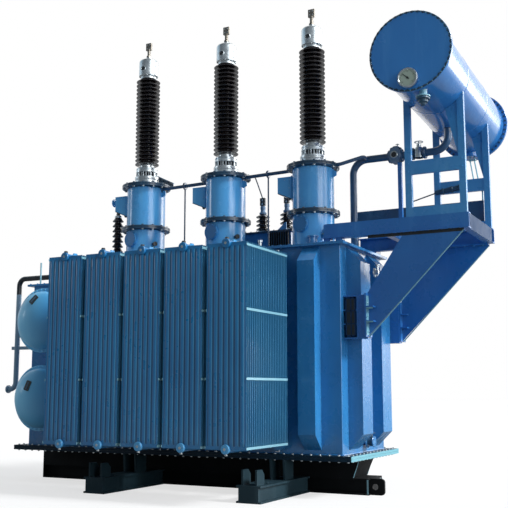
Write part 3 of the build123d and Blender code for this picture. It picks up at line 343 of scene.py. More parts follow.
# colour, shade
GLAZES = {
    "porcelain": ((0.016, 0.01, 0.01), (0.006, 0.006, 0.008)),
    "glass": ((0.03, 0.04, 0.045), (0.012, 0.016, 0.02)),
}


def make_materials():
    made = {}
    for recipe, table in ((gloss_paint, ENAMELS), (bare_metal, METALS), (glaze, GLAZES)):
        for name, row in table.items():
            made[name] = recipe(f"look_{name}", *row)
    return made


SLOT_LOOKS = {
    "base_black": "base", "tank_blue": "tank", "radiator_blue": "radiator",
    "bushing_metal": "cast", "porcelain": "porcelain", "pipe_blue": "pipe",
    "relay_metal": "relay", "conservator_blue": "conservator", "gauge_metal": "cast",
    "frame_blue": "frame", "cover_blue": "dome",
}
OWN_LOOKS = {
    "bottom_flange": "skirt", "cable_duct": "pipe", "cross_beams": "beam",
    "beam_stools": "beam", "conservator_frame_front": "post",
    "conservator_frame_rear": "post",
}


def dress_nodes(looks):
    """Gives every node of the model its finish."""
    for name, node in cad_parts.items():
        for slot in node.material_slots:
            key = SLOT_LOOKS.get(slot.material.name.split(".")[0])
            if key is None:
                raise ValueError(f"no look for {slot.material.name} on {name}")
            slot.material = looks[OWN_LOOKS.get(name, key)]


# Shapes: faces gathered in mesh code

def at(*point):
    return Matrix.Translation(point)


def around(count, phase=0.0):
    """The cosine and sine of evenly spaced angles."""
    angles = [2 * math.pi * (step + phase) / count for step in range(count)]
    return [(math.cos(angle), math.sin(angle)) for angle in angles]


def stand(point, toward=UP):
    """Takes Z at the origin to a direction at a point."""
    turn = Vector(toward).to_track_quat("Z", "Y").to_matrix().to_4x4()
    return Matrix.Translation(point) @ turn


def rounded(points, bend, steps):
    """Straight runs joined by arcs, as a list of points."""
    points = [Vector(point) for point in points]
    path = [points[0]]
    for before, corner, after in zip(points, points[1:], points[2:]):
        back = (before - corner).normalized()
        ahead = (after - corner).normalized()
        half = back.angle(ahead) / 2
        if half > math.pi / 2 - 0.01 or bend <= 0:
            path.append(corner)
            continue
        cut = bend / math.tan(half)
        center = corner + (back + ahead).normalized() * (bend / math.sin(half))
        first = corner + back * cut - center
        last = corner + ahead * cut - center
        turn = first.angle(last)
        axis = first.cross(last).normalized()
        for step in range(steps + 1):
            path.append(center + Matrix.Rotation(turn * step / steps, 3, axis) @ first)
    return path + [points[-1]]


class Shape:
    """Gathers the faces of one piece, each with its finish."""

    def __init__(self, look, place=None):
        self.verts = []
        self.faces = []
        self.slots = []
        self.looks = [look]
        self.slot = 0
        self.place = place or Matrix.Identity(4)

    def paint(self, look):
        if look not in self.looks:
            self.looks.append(look)
        self.slot = self.looks.index(look)

    def add(self, verts, faces, place=None):
        matrix = self.place @ place if place else self.place
        base = len(self.verts)
        self.verts += [matrix @ Vector(vert) for vert in verts]
        self.faces += [[base + index for index in face] for face in faces]
        self.slots += [self.slot] * len(faces)

    def box(self, x0, x1, y0, y1, z0, z1, place=None):
        verts = [(x, y, z) for z in (z0, z1) for y in (y0, y1) for x in (x0, x1)]
        self.add(verts, [(0, 2, 3, 1), (4, 5, 7, 6), (0, 1, 5, 4), (2, 6, 7, 3),
                         (0, 4, 6, 2), (1, 3, 7, 5)], place)

    def skin(self, verts, rings, ends=(), place=None):
        """Closes the bands between rings of indices, and the rings in ends."""
        faces = []
        for low, high in zip(rings, rings[1:]):
            for step, after in zip(range(len(low)), [*range(1, len(low)), 0]):
                corners = (low[step], low[after], high[after], high[step])
                face = list(dict.fromkeys(corners))
                if len(face) > 2:
                    faces.append(face)
        self.add(verts, faces + list(ends), place)

    def lathe(self, outline, place=None, sides=32):
        """Turns an outline of (radius, height) about Z."""
        verts, rings = [], []
        for radius, height in outline:
            if radius == 0:
                rings.append([len(verts)] * sides)
                verts.append((0, 0, height))
            else:
                rings.append(range(len(verts), len(verts) + sides))
                verts += [(radius * x, radius * y, height) for x, y in around(sides)]
        self.skin(verts, rings, place=place)

    def rod(self, start, end, radius, sides=14):
        axis = Vector(end) - Vector(start)
        self.lathe([(0, 0), (radius, 0), (radius, axis.length), (0, axis.length)],
                   stand(start, axis), sides)

    def disc(self, point, toward, outline, sides=40):
        """A turned piece from a point, its heights along a direction."""
        self.lathe(outline, stand(point, toward), sides)

    def tube(self, points, radius, bend=0, sides=20, steps=8):
        """A round bar along straight runs and arcs."""
        path = rounded(points, bend, steps)
        verts, rings = [], []
        across = None
        for index, point in enumerate(path):
            ahead = path[min(index + 1, len(path) - 1)] - path[max(index - 1, 0)]
            ahead.normalize()
            if across is None:
                across = ahead.orthogonal().normalized()
            across = (across - ahead * across.dot(ahead)).normalized()
            side = ahead.cross(across)
            rings.append(range(len(verts), len(verts) + sides))
            verts += [point + (across * x + side * y) * radius for x, y in around(sides)]
        self.skin(verts, rings, (rings[0], rings[-1]))

    def plate(self, axis, outline, low, high, place=None):
        """An outline in the other two axes, made thick along one axis."""
        count = len(outline)
        verts = []
        for depth in (low, high):
            for pair in outline:
                verts.append(list(pair))
                verts[-1].insert("xyz".index(axis), depth)
        faces = [range(count), range(count, 2 * count)]
        for step in range(count):
            after = (step + 1) % count
            faces.append((step, after, count + after, count + step))
        self.add(verts, faces, place)

    def bolt(self, point, toward, size, place=None):
        """A hexagon head on a washer; size is half the width over corners."""
        spot = stand(point, toward)
        spot = place @ spot if place else spot
        thin = size * 0.25
        self.lathe([(size * 1.28, 0), (size * 1.28, thin), (size * 0.8, thin)], spot, 12)
        self.lathe([(size, thin), (size, size * 0.85), (size * 0.84, size * 0.98),
                    (0, size * 0.98)], spot, 6)

    def bolt_ring(self, center, toward, ring, count, size, phase=0.5):
        place = stand(center, toward)
        for x, y in around(count, phase):
            self.bolt((ring * x, ring * y, 0), UP, size, place)

    def bolt_row(self, start, end, count, toward, size):
        start, end = Vector(start), Vector(end)
        for step in range(count):
            share = step / (count - 1) if count > 1 else 0.5
            self.bolt(start.lerp(end, share), toward, size)

    def flange(self, point, toward, radius, thick, bolts=0, size=0.008, bore=0, sides=40):
        """A flange disc that grows along a direction, with bolt heads on its far face."""
        edge = min(0.003, thick / 4)
        self.disc(point, toward, [(bore, 0), (radius - edge, 0), (radius, edge),
                                  (radius, thick - edge), (radius - edge, thick),
                                  (bore, thick)], sides)
        if bolts:
            axis = Vector(toward).normalized()
            self.bolt_ring(Vector(point) + axis * thick, toward, radius - size * 2.1,
                           bolts, size)

    def joint(self, point, toward, radius, thick, bolts, size):
        """Two flanges back to back at a point."""
        for way in (1, -1):
            self.flange(point, tuple(way * part for part in toward), radius, thick, bolts,
                        size)

    def side_box(self, side, x0, x1, near, far, z0, z1):
        """A box on the front or the rear side, from near to far off the middle."""
        self.box(x0, x1, *sorted((side * near, side * far)), z0, z1)


def piece(name, shape, *nodes, slot):
    """Makes the Blender object of a shape; it rides on the root and stands for nodes."""
    mesh = bpy.data.meshes.new(name)
    mesh.from_pydata(shape.verts, [], shape.faces)
    for look in shape.looks:
        mesh.materials.append(LOOKS[look])
    mesh.polygons.foreach_set("material_index", shape.slots)
    work = bmesh.new()
    work.from_mesh(mesh)
    bmesh.ops.recalc_face_normals(work, faces=work.faces)
    work.to_mesh(mesh)
    work.free()
    mesh.polygons.foreach_set("use_smooth", [True] * len(mesh.polygons))
    mesh.set_sharp_from_angle(angle=math.radians(34))
    made = bpy.data.objects.new(name, mesh)
    bpy.context.collection.objects.link(made)
    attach(made, "root")
    if nodes:
        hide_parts(*nodes)


# Radiators

RADIATOR_COUNT = 5
RADIATOR_FIRST_X, RADIATOR_PITCH = -0.685, 0.58
RADIATOR_FACE = 2.21
RADIATOR_LOW, RADIATOR_HIGH = 0.635, 2.956
HEADER_INSET = 0.008
PANEL_COUNT = 24
PANEL_FIRST_Y, PANEL_PITCH = 0.0135, 0.045
PANEL_HALF, PANEL_FIELD = 0.26, 0.238
SEAM_HALF = 0.0025
FLUTES = 7

# height off the panel's end and how full the flutes are there
FINE_ROWS = [(0, 0), (0.04, 0), (0.052, 0.35), (0.066, 0.8), (0.09, 1.0)]
PLAIN_ROWS = [(0, 0), (0.016, 0), (0.05, 0.85), (0.08, 1.0)]


def flute_share(x):
    """Where x lies across its flute, from 0 to 1."""
    return (x + PANEL_FIELD) / (2 * PANEL_FIELD) * FLUTES % 1.0


def flute(x):
    """Half the panel's thickness at x, where its flutes are full."""
    if abs(x) >= PANEL_FIELD:
        return SEAM_HALF
    return 0.003 + 0.0105 * math.sin(math.pi * flute_share(x)) ** 0.7


def panel(shape, y, steps, rows, outer):
    """One pressed panel, closed all round, at a depth y."""
    fine = FLUTES * steps
    columns = [-PANEL_HALF, -PANEL_FIELD]
    columns += [-PANEL_FIELD + 2 * PANEL_FIELD * (step + 0.5) / fine for step in range(fine)]
    columns += [PANEL_FIELD, PANEL_HALF]
    length = RADIATOR_HIGH - RADIATOR_LOW
    levels = rows + [(length - offset, share) for offset, share in reversed(rows)]
    wide, tall = len(columns), len(levels)
    count = wide * tall
    verts = [(x, y + side * (SEAM_HALF + (flute(x) - SEAM_HALF) * share),
              RADIATOR_LOW + offset)
             for side in (-1, 1) for offset, share in levels for x in columns]
    faces = []
    for base in (0, count):
        for row in range(tall - 1):
            for first in range(base + row * wide, base + row * wide + wide - 1):
                faces.append((first, first + 1, first + wide + 1, first + wide))
    rim = list(range(wide))
    rim += [row * wide + wide - 1 for row in range(1, tall)]
    rim += [count - 1 - step for step in range(1, wide)]
    rim += [row * wide for row in range(tall - 2, 0, -1)]
    for first, after in zip(rim, rim[1:] + rim[:1]):
        faces.append((first, after, count + after, count + first))
    shape.paint("radiator")
    shape.add(verts, faces)
    # the seam welds round a panel are paler, with a painted highlight on their lit edges
    shape.paint("seam")
    shape.slots[-len(rim):] = [shape.slot] * len(rim)
    # the flat strips at a panel's sides get the same paler blue: painted highlight
    marked_rows = range(tall - 1)
    marks = {0: "seam", wide - 2: "seam"}
    if outer:
        # on the outer panel, painted shade in the grooves and a painted highlight line beside
        # each
        marked_rows = range(1, tall - 2)
        marks = {}
        for step in range(1, wide - 2):
            share = flute_share((columns[step] + columns[step + 1]) / 2)
            if abs(share - 0.5) > 0.37:
                marks[step] = "groove"
            elif 0.7 < share < 0.82:
                marks[step] = "seam"
    start = len(shape.slots) - len(faces)
    for step, look in marks.items():
        shape.paint(look)
        for row in marked_rows:
            for base in (0, (tall - 1) * (wide - 1)):
                shape.slots[start + base + row * (wide - 1) + step] = shape.slot


def radiator(name, x, side):
    """A stack of panels on its headers, with bosses, plugs, eyes, straps and valves."""
    low, high = RADIATOR_LOW, RADIATOR_HIGH
    turn = Matrix.Rotation(0 if side < 0 else math.pi, 4, "Z")
    shape = Shape("radiator", at(x, side * RADIATOR_FACE, 0) @ turn)
    for index in range(PANEL_COUNT):
        y = PANEL_FIRST_Y + PANEL_PITCH * index
        outer = index == 0
        panel(shape, y, 9 if outer else 5, FINE_ROWS if outer else PLAIN_ROWS, outer)
    for z, up in ((low + HEADER_INSET, -1), (high - HEADER_INSET, 1)):
        shape.paint("radiator")
        shape.disc((0, 0, z), REAR, [(0.044, 0), (0.044, 1.33)], 32)
        shape.paint("boss" if up < 0 else "radiator")
        shape.disc((0, 0.014, z), FRONT, [
            (0.054, 0), (0.054, 0.028), (0.05, 0.034), (0.032, 0.036), (0, 0.036)], 36)
        shape.paint("zinc")
        shape.disc((0, -0.019, z), FRONT, [(0.017, 0), (0.017, 0.007), (0, 0.007)], 6)
        # the valve between two flanges and its lever
        shape.paint("radiator")
        for start in (1.328, 1.378):
            shape.flange((0, start, z), REAR, 0.088, 0.022, 8, 0.009)
        shape.disc((0, 1.35, z), REAR, [(0.066, 0), (0.066, 0.03)], 32)
        shape.disc((0, 1.4, z), REAR, [(0.046, 0), (0.046, 0.052), (0.052, 0.06)], 32)
        shape.paint("cast")
        lever = z + up * 0.105
        shape.rod((0, 1.364, z), (0, 1.364, lever), 0.011)
        shape.box(-0.045, 0.012, 1.357, 1.371, lever - 0.005, lever + 0.005)
    # vent plug above, drain plug below
    shape.paint("shade")
    shape.disc((0, 0.014, high + 0.016), UP, [
        (0.018, 0), (0.018, 0.012), (0.025, 0.014), (0.025, 0.042), (0.018, 0.049),
        (0, 0.049)], 16)
    shape.paint("zinc")
    shape.disc((0, 0.012, low - 0.028), DOWN, [
        (0.014, 0), (0.014, 0.022), (0.019, 0.022), (0.019, 0.034), (0, 0.034)], 12)
    # lifting eyes and straps
    shape.paint("boss")
    for y in (0.2, 0.86):
        eye = [(y - 0.055, high - 0.01), (y + 0.055, high - 0.01), (y + 0.055, high + 0.03),
               (y + 0.03, high + 0.06), (y - 0.03, high + 0.06), (y - 0.055, high + 0.03)]
        shape.plate("x", eye, -0.007, 0.007)
    shape.paint("strap")
    for x0, x1 in ((-0.2625, -0.2585), (0.2585, 0.2625)):
        for z in (high - 0.035, 2.19, 1.415, low + 0.02):
            shape.box(x0, x1, 0.002, 1.062, z - 0.0135, z + 0.0135)
    row = "front" if side < 0 else "rear"
    piece(f"{row}_stack_{name}", shape, f"{row}_radiator_{name}", slot="radiator_blue")


def radiators():
    for index in range(RADIATOR_COUNT):
        for side in (-1, 1):
            radiator(index + 1, RADIATOR_FIRST_X + RADIATOR_PITCH * index, side)


# Turrets and bushings

DECK = 3.121
TURRET_Y = -0.33
TURRETS = (-0.755, 0.575, 1.905)
TURRET_RADIUS = 0.278
TURRET_JOINT, TURRET_TOP = 0.442, 1.07
TURRET_BOLTS = 14
FOOT_Z, PORCELAIN_Z, HEAD_Z = 4.341, 4.551, 5.871
SHED_COUNT, SHED_PITCH = 22, 0.06
BOX_Z = 3.796
LOW_COUNT = 3
LOW_FIRST_X, LOW_PITCH, LOW_Y, LOW_Z = 0.41, 0.385, 0.39, 3.521
NEUTRAL_X = -1.25


def flange_pair(low, high, inner=TURRET_RADIUS, outer=0.352):
    """Outline of two flange rings with the joint line between them."""
    middle = (low + high) / 2
    return [(inner, low - 0.008), (inner + 0.007, low), (outer - 0.003, low),
            (outer, low + 0.003), (outer, middle - 0.003), (outer - 0.008, middle - 0.0015),
            (outer - 0.008, middle + 0.0015), (outer, middle + 0.003), (outer, high - 0.003),
            (outer - 0.003, high), (inner + 0.007, high), (inner, high + 0.008)]


def turret(index, x):
    """Two cylinders with bolted flange pairs, a blanked hand hole and lifting lugs."""
    shape = Shape("turret", at(x, TURRET_Y, DECK))
    joint, top, inner = TURRET_JOINT, TURRET_TOP, TURRET_RADIUS
    shape.lathe([(0, 0.001), (0.306, 0.001), (0.306, 0.018), (0.284, 0.022),
                 (inner, 0.032), (inner, joint - 0.007), (inner, joint + 0.057),
                 (inner, top - 0.007), (0.2, top + 0.03)], None, 96)
    # the flange pairs are painted dark: painted shade for their shaded edges and undersides
    shape.paint("rim")
    shape.lathe(flange_pair(joint, joint + 0.05), None, 96)
    shape.lathe(flange_pair(top, top + 0.05)[:-2] + [(0, top + 0.05)], None, 96)
    for z in (joint, top):
        shape.paint("zinc")
        shape.bolt_ring((0, 0, z), DOWN, 0.323, TURRET_BOLTS, 0.0165)
        shape.paint("rim")
        shape.bolt_ring((0, 0, z + 0.05), UP, 0.323, TURRET_BOLTS, 0.0165)
    # the cast ring under the bushing's foot
    shape.paint("cast")
    shape.lathe([(0, top + 0.05), (0.182, top + 0.05), (0.186, top + 0.054),
                 (0.186, top + 0.074), (0.17, top + 0.08), (0.166, 1.2),
                 (0.17, 1.206), (0.17, 1.2198), (0, 1.2198)], None, 64)
    shape.bolt_ring((0, 0, top + 0.075), UP, 0.18, 12, 0.008)
    shape.paint("tank")
    turn = math.radians(-12)
    out = Vector((math.sin(turn), -math.cos(turn), 0))
    center = Vector((0, 0, 0.3))
    shape.disc(center + out * 0.24, out, [(0.092, 0), (0.092, 0.05)], 40)
    shape.flange(center + out * 0.286, out, 0.112, 0.012)
    shape.flange(center + out * 0.299, out, 0.112, 0.013, 12, 0.0075)
    shape.paint("turret")
    for side in (-1, 1):
        ear = [(side * 0.272, 0.93), (side * 0.335, 0.96), (side * 0.335, 1.01),
               (side * 0.272, 1.05)]
        shape.plate("y", ear, -0.008, 0.008)
    # thermometer pocket on a pale bracket
    knob = Vector((0.245, -0.15, 0.225))
    out = Vector((0.85, -0.52, 0))
    shape.paint("strap")
    shape.box(0.2, 0.29, -0.205, -0.12, 0.15, 0.163)
    shape.disc((0.245, -0.162, 0.15), UP, [(0.01, 0), (0.01, 0.06)], 10)
    shape.paint("shade")
    shape.disc(knob, out, [(0, -0.03), (0.024, -0.03), (0.024, 0.028), (0.032, 0.03),
                           (0.032, 0.052), (0, 0.054)], 16)
    piece(f"turret_body_{index}", shape, f"turret_{index}", slot="tank_blue")


def foot(index, x):
    """The metal foot: a ring, clamp studs with ribs between, an upper ring and a neck."""
    shape = Shape("cast", at(x, TURRET_Y, FOOT_Z))
    shape.lathe([(0, 0), (0.169, 0), (0.172, 0.003), (0.172, 0.027), (0.169, 0.03),
                 (0.135, 0.031), (0.124, 0.036)], None, 64)
    shape.bolt_ring((0, 0, 0.03), UP, 0.153, 12, 0.01)
    shape.paint("shade")
    shape.lathe([(0.124, 0.036), (0.118, 0.046), (0.118, 0.095)], None, 64)
    shape.paint("cast")
    studs = 12
    for step in range(studs):
        turn = Matrix.Rotation(2 * math.pi * step / studs, 4, "Z")
        shape.box(0.112, 0.142, -0.008, 0.008, 0.034, 0.095, turn)
    shape.lathe([(0.118, 0.095), (0.152, 0.095), (0.156, 0.099), (0.156, 0.122),
                 (0.148, 0.128), (0.148, 0.138), (0.154, 0.144), (0.154, 0.158),
                 (0.146, 0.166), (0.112, 0.17), (0.102, 0.178), (0.102, 0.21),
                 (0, 0.21)], None, 64)
    for x, y in around(studs, 0.5):
        shape.rod((0.15 * x, 0.15 * y, 0.03), (0.15 * x, 0.15 * y, 0.098), 0.0065, 8)
    piece(f"bushing_base_{index}", shape, f"bushing_foot_{index}", slot="bushing_metal")


def sheds(shape, foot_z, pitch, count, core, top_core, lip, scale):
    """The porcelain's outline: rounded, drooping sheds on a slightly tapered core."""
    outline = [(0, foot_z)]
    for index in range(count):
        neck = core + (top_core - core) * index / count
        z = foot_z + index * pitch
        reach = lip - neck
        outline += [(neck, z + 0.001), (neck + 0.004 * scale, z + 0.05 * pitch),
                    (neck + reach * 0.55, z + 0.15 * pitch),
                    (lip - 0.012 * scale, z + 0.19 * pitch),
                    (lip - 0.004 * scale, z + 0.17 * pitch),
                    (lip, z + 0.25 * pitch), (lip - 0.003 * scale, z + 0.36 * pitch),
                    (lip - 0.014 * scale, z + 0.45 * pitch),
                    (neck + reach * 0.36, z + 0.66 * pitch),
                    (neck + 0.01 * scale, z + 0.8 * pitch), (neck, z + 0.92 * pitch)]
    top = foot_z + count * pitch
    outline += [(top_core, top), (0, top)]
    shape.lathe(outline, None, 56)


def porcelain(index, x):
    shape = Shape("porcelain", at(x, TURRET_Y, 0))
    sheds(shape, PORCELAIN_Z, SHED_PITCH, SHED_COUNT, 0.112, 0.098, 0.176, 1.0)
    piece(f"bushing_sheds_{index}", shape, f"bushing_porcelain_{index}", slot="porcelain")


def head(index, x):
    """The cast head with rounded shoulders, sight glass, stud and flat terminal."""
    shape = Shape("cast", at(x, TURRET_Y, HEAD_Z))
    outline = [(0, 0), (0.114, 0), (0.118, 0.004), (0.118, 0.02), (0.112, 0.024),
               (0.112, 0.034), (0.118, 0.038), (0.122, 0.044), (0.139, 0.046),
               (0.142, 0.05), (0.142, 0.25)]
    for step in range(1, 8):
        angle = math.radians(90) * step / 8
        outline.append((0.046 + 0.096 * math.cos(angle), 0.255 + 0.062 * math.sin(angle)))
    outline += [(0.046, 0.318), (0.046, 0.334), (0.036, 0.338), (0.036, 0.345), (0, 0.345)]
    shape.lathe(outline, None, 56)
    shape.bolt_ring((0, 0, 0.045), DOWN, 0.131, 8, 0.008)
    shape.disc((0, -0.136, 0.138), FRONT, [
        (0.043, 0), (0.043, 0.01), (0.039, 0.014), (0.031, 0.014), (0.029, 0.009)], 36)
    shape.paint("glass")
    shape.disc((0, -0.136, 0.138), FRONT, [(0.029, 0.009), (0, 0.01)], 36)
    shape.paint("copper")
    shape.lathe([(0.03, 0.34), (0.03, 0.378), (0.024, 0.382), (0.024, 0.455),
                 (0.03, 0.458), (0.03, 0.47), (0, 0.47)], None, 28)
    shape.lathe([(0.04, 0.352), (0.04, 0.366), (0.03, 0.367)], None, 6)
    shape.box(-0.045, 0.045, -0.017, 0.017, 0.462, 0.572)
    shape.paint("zinc")
    for side in (-1, 1):
        for z in (0.49, 0.545):
            shape.bolt((side * 0.022, -0.017, z), FRONT, 0.0085)
            shape.bolt((side * 0.022, 0.017, z), REAR, 0.0085)
    piece(f"bushing_cap_{index}", shape, f"bushing_head_{index}", slot="bushing_metal")


def terminal_box(index, x):
    """A sheet box on the turret's left side, tapered below; the first has a stub."""
    shape = Shape("turret", at(x, TURRET_Y, BOX_Z))
    near, far = -0.262, -0.4683
    outline = [(near, 0), (near, 0.302), (far, 0.302), (far, 0.09)]
    shape.plate("y", outline, -0.117, 0.117)
    shape.box(far, near + 0.01, -0.12, 0.12, 0.295, 0.31)
    lid = [(near - 0.02, 0.03), (near - 0.02, 0.285), (far + 0.012, 0.285),
           (far + 0.012, 0.1)]
    shape.plate("y", lid, -0.1198, -0.117)
    shape.paint("rim")
    under = [(near, -0.0003), (near, 0.01), (far, 0.098), (far, 0.088)]
    shape.plate("y", under, -0.119, 0.119)
    shape.paint("zinc")
    for spot in ((near - 0.035, 0.045), (near - 0.035, 0.268), (far + 0.03, 0.268),
                 (far + 0.03, 0.12), (near - 0.1, 0.268), (near - 0.035, 0.157)):
        shape.bolt((spot[0], -0.116, spot[1]), FRONT, 0.0042)
    if index == 1:
        shape.paint("turret")
        shape.disc((far, 0, 0.25), LEFT, [
            (0.046, 0), (0.04, 0.006), (0.038, 0.012), (0.038, 0.095)], 32)
        shape.flange((far - 0.083, 0, 0.25), LEFT, 0.06, 0.012)
        shape.flange((far - 0.095, 0, 0.25), LEFT, 0.06, 0.014, 0, 0.006)
    shape.paint("shade")
    for y in (-0.06, 0.05):
        shape.disc((near - 0.055, y, 0.03), DOWN, [
            (0.024, -0.02), (0.024, 0.012), (0.018, 0.014), (0.018, 0.026),
            (0, 0.026)], 12)
    piece(f"sensor_box_{index}", shape, f"terminal_box_{index}", slot="tank_blue")


def small_bushing(shape, place, collar, pitch, count, lip):
    """A bolted foot that ends in a collar, and its sheds; the shape's place moves on top."""
    shape.place = place
    start = collar[-1][1]
    shape.paint("cast")
    shape.lathe([(0, 0), (0.102, 0), (0.105, 0.003)] + collar + [(0, start)], None, 44)
    shape.bolt_ring((0, 0, 0.022), UP, 0.089, 8, 0.0085)
    shape.paint("porcelain")
    sheds(shape, start, pitch, count, 0.048, 0.048, lip, 0.7)
    shape.place = place @ at(0, 0, start + pitch * count)


def low_bushing(shape, x):
    """A bushing on the raised box: broad sheds, grey neck and dark clamp."""
    collar = [(0.105, 0.018), (0.101, 0.022), (0.078, 0.024), (0.07, 0.03),
              (0.066, 0.045)]
    small_bushing(shape, at(x, LOW_Y, LOW_Z), collar, 0.062, 4, 0.1)
    shape.paint("relay")
    shape.lathe([(0.05, -0.004), (0.052, 0), (0.052, 0.022),
                 (0.036, 0.03), (0.033, 0.07), (0.038, 0.074),
                 (0.038, 0.112), (0.028, 0.118), (0, 0.118)], None, 32)
    shape.paint("copper")
    shape.lathe([(0.018, 0.11), (0.018, 0.243), (0, 0.243)], None, 20)
    shape.paint("shade")
    for z in (0.128, 0.186):
        shape.box(-0.04, 0.04, -0.02, 0.02, z, z + 0.052)
    shape.paint("zinc")
    for x in (-0.028, 0.028):
        shape.rod((x, 0, 0.122), (x, 0, 0.243), 0.007, 8)
    for z in (0.15, 0.205):
        shape.bolt((0, -0.02, z), FRONT, 0.01)


def neutral_bushing(shape):
    """The neutral bushing: a taller stack with cap and threaded stud."""
    collar = [(0.105, 0.02), (0.101, 0.024), (0.078, 0.026), (0.07, 0.034),
              (0.068, 0.078), (0.06, 0.09)]
    small_bushing(shape, at(NEUTRAL_X, TURRET_Y, DECK), collar, 0.076, 8, 0.082)
    shape.paint("cast")
    shape.lathe([(0.05, -0.004), (0.052, 0), (0.052, 0.022),
                 (0.044, 0.03), (0, 0.03)], None, 32)
    shape.paint("copper")
    shape.lathe([(0.02, 0.02), (0.02, 0.12), (0, 0.12)], None, 20)
    shape.lathe([(0.031, 0.042), (0.031, 0.058), (0, 0.058)], None, 6)
    shape.box(-0.026, 0.026, -0.008, 0.008, 0.062, 0.116)


def small_bushings():
    shape = Shape("cast")
    for index in range(LOW_COUNT):
        low_bushing(shape, LOW_FIRST_X + LOW_PITCH * index)
    piece("low_voltage_sheds", shape, "low_voltage_bushings", slot="porcelain")
    shape = Shape("cast")
    neutral_bushing(shape)
    piece("neutral_sheds", shape, "neutral_bushing", slot="porcelain")


def raised_box():
    """The low voltage box on the cover: lid bolts, dark lid edge, ribs and welds."""
    shape = Shape("rim")
    left, right, front, rear, top = 0.26, 1.33, 0.2, 0.6, LOW_Z
    for y in (front - 0.013, rear + 0.013):
        shape.bolt_row((left - 0.012, y, top), (right + 0.012, y, top), 13, UP, 0.01)
    for x in (left - 0.013, right + 0.013):
        shape.bolt_row((x, front + 0.06, top), (x, rear - 0.06, top), 4, UP, 0.01)
    band = 0.03
    shape.box(left - band, right + band, front - band, front - 0.026, top - 0.03, top - 0.001)
    shape.box(right + 0.026, right + band, front - band, rear + band, top - 0.03, top - 0.001)
    shape.paint("shade")
    for index in range(9):
        x = 1.01 + 0.036 * index
        shape.box(x, x + 0.01, front - 0.045, front, top - 0.24, top - 0.032)
    shape.paint("tank")
    for x in (left + 0.12, 0.56, 0.8):
        rib = [(front, DECK), (front - 0.06, DECK), (front - 0.012, top - 0.1),
               (front, top - 0.1)]
        shape.plate("x", rib, x - 0.006, x + 0.006)
    shape.rod((left, front, DECK), (right, front, DECK), 0.007, 8)
    shape.rod((right, front, DECK), (right, rear, DECK), 0.007, 8)
    # earth lead up to the gas pipe and a pale gusset on the lid
    shape.paint("rim")
    shape.tube([(1.035, -0.33, 4.19), (0.95, -0.1, 4.17), (0.795, 0.36, 4.07),
                (0.795, 0.39, 4.03)], 0.009, 0.02, 10, 3)
    shape.paint("boss")
    gusset = [(1.1, top), (1.25, top), (1.25, top + 0.115), (1.235, top + 0.115)]
    shape.plate("y", gusset, front + 0.02, front + 0.03)
    piece("voltage_box_details", shape, slot="tank_blue")


def turret_bracket():
    """An angle bracket on the first turret's top flange, over the gas pipe's rear side."""
    shape = Shape("rim")
    y0, y1 = -0.145, -0.105
    z = 4.2412
    web = [(-0.69, z), (-0.43, z), (-0.43, z + 0.05), (-0.69, z + 0.185)]
    shape.plate("y", web, y1 - 0.008, y1)
    shape.paint("relay")
    cap = [(-0.7, z + 0.185), (-0.42, z + 0.048), (-0.42, z + 0.062), (-0.7, z + 0.199)]
    shape.plate("y", cap, y0, y1)
    shape.box(-0.7, -0.42, y0, y1, z, z + 0.01)
    piece("turret_bracket", shape, slot="tank_blue")


def turrets_and_bushings():
    for index, x in enumerate(TURRETS, 1):
        turret(index, x)
        foot(index, x)
        porcelain(index, x)
        head(index, x)
        terminal_box(index, x)
    small_bushings()
    raised_box()
    turret_bracket()


# Conservator, its gauge and relay

DRUM = at(3.65, -1.56, 5.111) @ Matrix.Rotation(math.radians(-2.5), 4, "X")
DRUM_LONG = 2.94


def drum_shell():
    """The drum with weld beads, rim flanges, sump, drain neck and lifting lugs."""
    shape = Shape("conservator", DRUM)
    outline = []
    for bead in (0.045, 0.98, 1.96, DRUM_LONG - 0.045):
        outline += [(0.43, bead - 0.022), (0.43, bead - 0.008), (0.4325, bead - 0.003),
                    (0.4325, bead + 0.003), (0.43, bead + 0.008), (0.43, bead + 0.022)]
    shape.disc((0, 0, 0), REAR, outline, 96)
    for start in (0.0185, DRUM_LONG - 0.04):
        shape.disc((0, start, 0), REAR, [
            (0.43, 0), (0.484, 0), (0.487, 0.003), (0.487, 0.0185), (0.484, 0.0215),
            (0.43, 0.0215)], 96)
    # sump at the rear, drain neck at the front
    shape.disc((0, DRUM_LONG - 0.165, -0.4), DOWN, [(0.095, 0), (0.095, 0.078)], 40)
    shape.flange((0, DRUM_LONG - 0.165, -0.478), DOWN, 0.112, 0.012, 8, 0.007)
    shape.paint("strap")
    shape.disc((0.085, 0.21, -0.4), DOWN, [(0.05, 0), (0.044, 0.02), (0.044, 0.1)], 28)
    shape.paint("conservator")
    for y in (0.45, 2.45):
        ear = [(-0.075, 0.415), (0.075, 0.415), (0.075, 0.45), (0.035, 0.5), (-0.035, 0.5),
               (-0.075, 0.45)]
        shape.plate("y", ear, y - 0.009, y + 0.009)
    shape.disc((0, 1.3, 0.42), UP, [(0.055, 0), (0.055, 0.05)], 32)
    shape.flange((0, 1.3, 0.468), UP, 0.078, 0.014, 6, 0.007)
    shape.paint("strap")
    shape.flange((0.085, 0.21, -0.484), DOWN, 0.084, 0.016, 8, 0.007)
    shape.paint("valve")
    shape.disc((0.085, 0.21, -0.5), DOWN, [
        (0, 0), (0.074, 0.002), (0.078, 0.01), (0.078, 0.026), (0.056, 0.03),
        (0.056, 0.06), (0.036, 0.068), (0.026, 0.092), (0, 0.092)], 28)
    piece("conservator_drum", shape, "conservator_shell", slot="conservator_blue")


